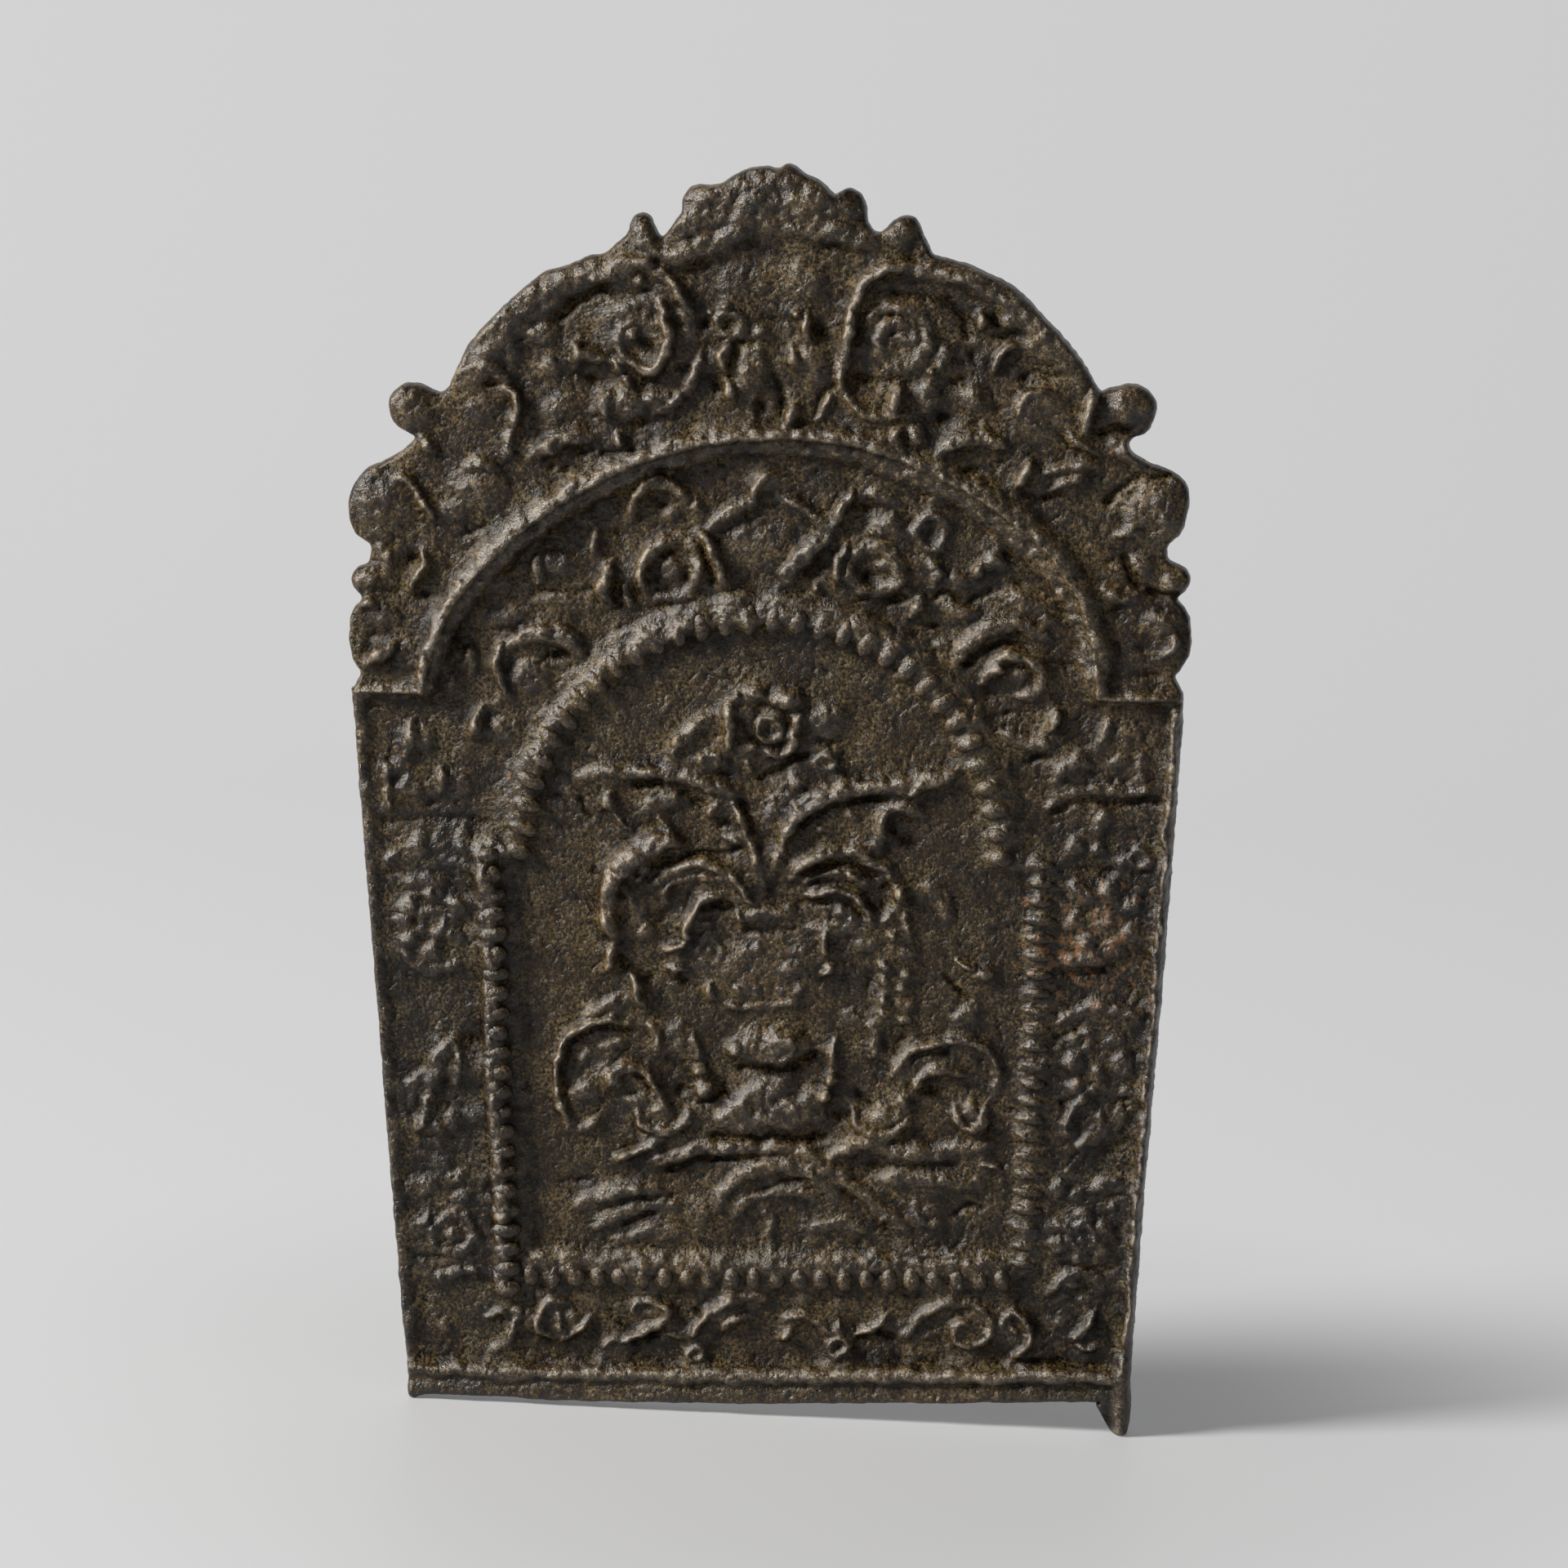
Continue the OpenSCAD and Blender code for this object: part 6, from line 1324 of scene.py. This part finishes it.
    # handling has worn the oxide of the proud iron to a pale grey that the sand's grain breaks up; the pale grey is
    # also a painted sheen, a highlight put into the colour
    wear_and_sheen = hollow
    for part, share in ((crust, 1.3), (sand, 1.3), (soot, -1.0)):
        wear_and_sheen = node(t, "ShaderNodeMath", {0: part, 1: share, 2: wear_and_sheen}, operation="MULTIPLY_ADD")["Value"]
    wear_and_sheen = node(t, "ShaderNodeMapRange",
               {"Value": wear_and_sheen, "From Min": 1.56, "From Max": 2.10, "To Max": s.burnish_and_sheen})["Result"]
    colour = node(t, "ShaderNodeMix", {"Factor": wear_and_sheen, "A": colour, "B": (*linear("7A746C"), 1)},
                  data_type="RGBA")["Result"]
    # the worn oxide is half shiny, the rest duller, and soot in the hollows has no gloss at all; the dimmed gloss in
    # the hollows is also painted shade
    gloss = node(t, "ShaderNodeMapRange",
                 {"Value": hollow, "From Min": -0.45, "From Max": 0.10, "To Min": 0.08, "To Max": 0.5})["Result"]
    rough = node(t, "ShaderNodeMapRange", {"Value": wear_and_sheen, "To Min": 0.32, "To Max": 0.25})["Result"]
    for part in (sand, dusty):
        rough = node(t, "ShaderNodeMath", {0: part, 1: 0.30, 2: rough}, operation="MULTIPLY_ADD")["Value"]
    rough = node(t, "ShaderNodeMath", {0: rough, 1: 0.15}, operation="SUBTRACT", use_clamp=True)["Value"]
    # sand texture and pits; the bump is in metres, because the mesh is
    cell = node(t, "ShaderNodeTexVoronoi", {"Vector": mm, "Scale": 1 / 0.70}, feature="F1")["Distance"]
    cell = node(t, "ShaderNodeMapRange", {"Value": cell, "From Min": 0.0, "From Max": 0.40})["Result"]
    tall = sand
    for part, share in ((crust, 0.75), (mottle, 0.40), (cell, 0.14)):
        tall = node(t, "ShaderNodeMath", {0: part, 1: share, 2: tall}, operation="MULTIPLY_ADD")["Value"]
    bump = node(t, "ShaderNodeBump", {"Strength": s.bump, "Distance": 0.00026, "Height": tall})["Normal"]
    shader = node(t, "ShaderNodeBsdfPrincipled",
                  {"Base Color": colour, "Roughness": rough, "IOR": 1.55, "Specular IOR Level": gloss,
                   "Normal": bump})
    node(t, "ShaderNodeOutputMaterial", {"Surface": shader["BSDF"]})
    return m


# ---------------------------------------------------------------- the sizes and colours a user would change

def factor(name, description, default, low, high):
    """A setting that is a share of something."""
    return FloatProperty(name=name, description=description, default=default, min=low, max=high, subtype="FACTOR")


def small(name, description, default, low, high):
    """A setting that is a small length in metres."""
    return FloatProperty(name=name, description=description, default=default, min=low, max=high, unit="LENGTH",
                         precision=5)


def tint(name, description, colour):
    """A setting that is a colour, given as sRGB hex."""
    return FloatVectorProperty(name=name, description=description, subtype="COLOR", size=3, min=0, max=1,
                               default=linear(colour))


class FirebackCasting(bpy.types.PropertyGroup):
    """The worn relief, shared by every cast piece."""
    depth: factor("Relief kept", "Share of the fresh pattern's height that the worn casting still has", 0.76, 0.3,
                  1.1)
    wander: small("Wander", "How far the strokes stray from true, as in an often recast pattern", 0.00050, 0, 0.002)
    unevenness: small("Unevenness", "Height of the sand mould's lumps", 0.00019, 0, 0.001)
    pits: small("Pits", "Depth of the gas pits and scale", 0.00016, 0, 0.001)


class FirebackBeads(bpy.types.PropertyGroup):
    """Beads and ribs of the frame round the vase."""
    fullness: factor("Fullness", "Size of a bead as a share of its drawn size", 0.98, 0.5, 1.2)
    stand: factor("Stand", "How high the beads stand, as a share of the drawn height", 1.0, 0.5, 1.3)
    thickness: small("Thickness", "Whole depth of a bead, most of it sunk in the band", 0.0021, 0.001, 0.004)
    roughness: small("Roughness", "How uneven a bead's surface is", 0.00036, 0, 0.001)


class FirebackFinish(bpy.types.PropertyGroup):
    """Old sand-cast iron."""
    dust_colour: tint("Dust", "House dust in the hollows", "806C45")
    dust: factor("Dust amount", "How much dust lies in the hollows", 0.75, 0, 1)
    rust_colour: tint("Rust", "Small rust specks", "755233")
    rust: factor("Rust amount", "How strong the rust specks are", 0.55, 0, 1)
    # how much pale grey goes onto the proud iron: burnishing wear and a painted sheen
    burnish_and_sheen: factor("Burnishing", "How bright handling has rubbed the proud iron", 0.30, 0, 1)
    bump: factor("Sand texture", "Strength of the moulding sand's texture", 0.65, 0, 1)


class FirebackStage(bpy.types.PropertyGroup):
    """Floor, backdrop, lights and camera."""
    floor_colour: tint("Floor", "Pale matt board under and behind the fireback", "A8AAAD")
    backdrop_colour: tint("Backdrop", "Even colour that the board shows to the camera", "DADADB")
    evenness: factor("Evenness", "Share of the board's own even colour over its lit colour", 0.66, 0, 1)
    key: FloatProperty(name="Key light", description="Power of the large lamp on the left", default=43.0, min=0,
                       max=200, unit="POWER")
    fill: FloatProperty(name="Fill light", description="Power of the weak lamp on the right", default=0.7, min=0,
                        max=100, unit="POWER")
    sky: FloatProperty(name="Room light", description="Strength of the even light all round", default=0.07, min=0,
                       max=2)
    lens: FloatProperty(name="Lens", description="Focal length of the camera", default=131.25, min=20, max=400,
                        unit="CAMERA")
    distance: FloatProperty(name="Camera distance", description="From the camera to the middle of the plate",
                            default=0.7, min=0.2, max=3, unit="LENGTH")


# ---------------------------------------------------------------- one operator for each piece or group

class FIREBACK_OT_crest(bpy.types.Operator):
    """Crest with its cresting shell, two volutes, plumes, leaf groups and edge lobes"""
    bl_idname = "fireback.crest"
    bl_label = "Crest"

    def execute(self, context):
        cast_piece("crest_middle", "crest_plate", "cresting_shell", "plumes")
        cast_piece("crest_left", "volute_left", "crest_leaves_left", "lobe_scrolls_left")
        cast_piece("crest_right", "volute_right", "crest_leaves_right", "lobe_scrolls_right")
        return {"FINISHED"}


class FIREBACK_OT_arch_moulding(bpy.types.Operator):
    """Large plain arch moulding and the two short ledges beside its feet"""
    bl_idname = "fireback.arch_moulding"
    bl_label = "Arch moulding"

    def execute(self, context):
        cast_piece("arch_moulding", "arch_moulding")
        cast_piece("ledge_left", "ledge_left")
        cast_piece("ledge_right", "ledge_right")
        return {"FINISHED"}


class FIREBACK_OT_spandrel(bpy.types.Operator):
    """Ground inside the arch with tulip, rosettes, buds and roses"""
    bl_idname = "fireback.spandrel"
    bl_label = "Spandrel"

    def execute(self, context):
        cast_piece("spandrel", "spandrel_tulip", "spandrel_rosette_left", "spandrel_rosette_right",
                   "spandrel_buds_left", "spandrel_buds_right", "rose_left", "rose_right")
        return {"FINISHED"}


class FIREBACK_OT_beaded_arch(bpy.types.Operator):
    """Band of the inner arch and the row of cast beads on it"""
    bl_idname = "fireback.beaded_arch"
    bl_label = "Beaded arch"

    def execute(self, context):
        bead_piece("arch_beads", "bead_arch", lean=0.12, seed=3)
        cast_piece("bead_arch", "bead_arch")
        return {"FINISHED"}


class FIREBACK_OT_rib_columns(bpy.types.Operator):
    """Two ribbed columns that carry the beaded arch"""
    bl_idname = "fireback.rib_columns"
    bl_label = "Rib columns"

    def execute(self, context):
        bead_piece("ribs_left", "rib_column_left", lean=-0.06, seed=5)
        bead_piece("ribs_right", "rib_column_right", lean=0.05, seed=7)
        cast_piece("rib_column_left", "rib_column_left")
        cast_piece("rib_column_right", "rib_column_right")
        return {"FINISHED"}


class FIREBACK_OT_bead_row(bpy.types.Operator):
    """Straight row of beads under the picture"""
    bl_idname = "fireback.bead_row"
    bl_label = "Bead row"

    def execute(self, context):
        bead_piece("row_beads", "bead_row", seed=9)
        cast_piece("bead_row", "bead_row")
        return {"FINISHED"}


class FIREBACK_OT_flowers(bpy.types.Operator):
    """Top flower and the two long leaves"""
    bl_idname = "fireback.flowers"
    bl_label = "Flowers"

    def execute(self, context):
        cast_piece("flowers", "top_flower", "long_leaves")
        return {"FINISHED"}


class FIREBACK_OT_vase(bpy.types.Operator):
    """Two-handled vase with its palm fronds"""
    bl_idname = "fireback.vase"
    bl_label = "Vase"

    def execute(self, context):
        cast_piece("vase", "palm_left", "palm_right", "vase_bowl", "vase_lip", "vase_knop", "vase_bell",
                   "vase_handle_left", "vase_handle_right")
        return {"FINISHED"}


class FIREBACK_OT_scrolls(bpy.types.Operator):
    """Hanging branches and the scrolls on both sides of the vase"""
    bl_idname = "fireback.scrolls"
    bl_label = "Scrolls"

    def execute(self, context):
        cast_piece("scroll_left", "branch_left", "scroll_left")
        cast_piece("scroll_right", "branch_right", "scroll_right")
        return {"FINISHED"}


class FIREBACK_OT_ground(bpy.types.Operator):
    """Hilly ground that the vase stands on"""
    bl_idname = "fireback.ground"
    bl_label = "Ground"

    def execute(self, context):
        cast_piece("ground", "ground", "field_plate")
        return {"FINISHED"}


class FIREBACK_OT_side_panels(bpy.types.Operator):
    """Side panels with buds, rosettes and husks"""
    bl_idname = "fireback.side_panels"
    bl_label = "Side panels"

    def execute(self, context):
        cast_piece("side_left", "side_buds_left", "side_rosette_left", "husk_left", "low_rosette_left")
        cast_piece("side_right", "side_buds_right", "side_rosette_right", "husk_right", "low_rosette_right")
        return {"FINISHED"}


class FIREBACK_OT_frieze(bpy.types.Operator):
    """Scrollwork frieze"""
    bl_idname = "fireback.frieze"
    bl_label = "Frieze"

    def execute(self, context):
        cast_piece("frieze", "frieze_left", "frieze_right", "frieze_volutes")
        return {"FINISHED"}


class FIREBACK_OT_edges(bpy.types.Operator):
    """Raised rims, base moulding and the one foot that is left"""
    bl_idname = "fireback.edges"
    bl_label = "Rims and base"

    def execute(self, context):
        cast_piece("rim_left", "rim_left")
        cast_piece("rim_right", "rim_right")
        cast_piece("base_moulding", "base_moulding", "foot_stub_left")
        cast_piece("foot_right", "foot_right")
        return {"FINISHED"}


def towards(azimuth, elevation):
    """The direction from the plate to a place so many degrees right of its front and above it."""
    a, e = np.radians(azimuth), np.radians(elevation)
    return Vector((np.sin(a) * np.cos(e), -np.cos(a) * np.cos(e), np.sin(e)))


class FIREBACK_OT_stage(bpy.types.Operator):
    """Pale floor and backdrop, soft light from the left and the camera"""
    bl_idname = "fireback.stage"
    bl_label = "Stage"

    def execute(self, context):
        s = context.scene.fireback_stage
        # the plate stands on its right foot and its left corner, so the floor is tilted to it
        slope = np.array([0.0888, 0, -0.0030])
        slope /= np.linalg.norm(slope)
        foot = np.array([0.0439, 0, 0.0])
        rise = np.cross(slope, [0, 1, 0])
        # flat from in front to behind the plate, then up in a wide sweep, 4.4 m across
        behind, sweep, half = 0.45, 0.5, 2.2
        profile = [(-1.4, 0.0), (-0.3, 0.0), (behind, 0.0)]
        for a in np.linspace(0.08, np.pi / 2, 20):
            profile.append((behind + sweep * np.sin(a), sweep - sweep * np.cos(a)))
        profile.append((behind + sweep, 2.2))
        verts = [foot + slope * u + np.array([0, 1, 0]) * y + rise * h for y, h in profile for u in (-half, half)]
        faces = [(2 * k, 2 * k + 1, 2 * k + 3, 2 * k + 2) for k in range(len(profile) - 1)]
        mesh = bpy.data.meshes.new("backdrop")
        mesh.from_pydata([list(v) for v in verts], [], faces)
        mesh.polygons.foreach_set("use_smooth", [True] * len(faces))
        floor = bpy.data.objects.new("backdrop", mesh)
        context.collection.objects.link(floor)
        mesh.materials.append(pale_board(s))

        world = bpy.data.worlds.new("room")
        context.scene.world = world
        world.use_nodes = True
        t = world.node_tree
        t.nodes.clear()
        sky = node(t, "ShaderNodeBackground", {"Color": (1.0, 0.98, 0.95, 1), "Strength": s.sky})
        node(t, "ShaderNodeOutputWorld", {"Surface": sky["Background"]})

        middle = Vector((0.0, 0.0, 0.078))
        # name, azimuth and elevation in degrees, distance and size in metres, power, colour
        lamps = (("key", -66, 32, 1.3, 0.40, s.key, (1.0, 0.965, 0.915)),
                 ("fill", 50, 30, 1.1, 0.8, s.fill, (0.93, 0.96, 1.0)))
        for name, azimuth, elevation, far, size, power, colour in lamps:
            lamp = bpy.data.lights.new(name, "AREA")
            lamp.shape, lamp.size, lamp.energy = "DISK", size, power
            lamp.color = colour
            at = bpy.data.objects.new(name, lamp)
            context.collection.objects.link(at)
            back = towards(azimuth, elevation)
            at.location = middle + back * far
            at.rotation_euler = (-back).to_track_quat("-Z", "Y").to_euler()

        # the photograph's view: 4.5 degrees from the right, 9 degrees down
        cam = bpy.data.cameras.new("camera")
        cam.lens, cam.sensor_width = s.lens, 36.0
        cam.clip_start, cam.clip_end = 0.01, 20
        eye = bpy.data.objects.new("camera", cam)
        context.collection.objects.link(eye)
        back = towards(4.5, 9.0)
        right = (-back).cross(Vector((0, 0, 1))).normalized()
        up = right.cross(-back)
        turn = Matrix((right, up, back)).transposed().to_4x4()
        looked_at = Vector((0.0021, 0, 0.0811))
        eye.matrix_world = Matrix.Translation(looked_at + back * s.distance) @ turn
        context.scene.camera = eye
        context.scene.view_settings.view_transform = "Standard"
        return {"FINISHED"}


PIECES = (FIREBACK_OT_crest, FIREBACK_OT_arch_moulding, FIREBACK_OT_spandrel, FIREBACK_OT_beaded_arch,
          FIREBACK_OT_rib_columns,
          FIREBACK_OT_bead_row, FIREBACK_OT_flowers, FIREBACK_OT_vase, FIREBACK_OT_scrolls, FIREBACK_OT_ground,
          FIREBACK_OT_side_panels, FIREBACK_OT_frieze, FIREBACK_OT_edges, FIREBACK_OT_stage)
SETTINGS = {"fireback_casting": FirebackCasting, "fireback_beads": FirebackBeads,
            "fireback_finish": FirebackFinish, "fireback_stage": FirebackStage}


class FIREBACK_PT_panel(bpy.types.Panel):
    """Sizes, finish and pieces of the fireback"""
    bl_idname = "FIREBACK_PT_panel"
    bl_label = "Fireback"
    bl_space_type = "VIEW_3D"
    bl_region_type = "UI"
    bl_category = "Fireback"

    def draw(self, context):
        for key, kind in SETTINGS.items():
            box = self.layout.box()
            box.label(text=kind.__doc__)
            for name in kind.__annotations__:
                box.prop(getattr(context.scene, key), name)
        for piece in PIECES:
            self.layout.operator(piece.bl_idname)


def register():
    for kind in (*SETTINGS.values(), *PIECES, FIREBACK_PT_panel):
        bpy.utils.register_class(kind)
    for key, kind in SETTINGS.items():
        setattr(bpy.types.Scene, key, PointerProperty(type=kind))


def unregister():
    for key in SETTINGS:
        delattr(bpy.types.Scene, key)
    for kind in (FIREBACK_PT_panel, *PIECES[::-1], *list(SETTINGS.values())[::-1]):
        bpy.utils.unregister_class(kind)


def main():
    register()
    for piece in PIECES:
        group, name = piece.bl_idname.split(".")
        getattr(getattr(bpy.ops, group), name)()


if __name__ == "__main__":
    main()
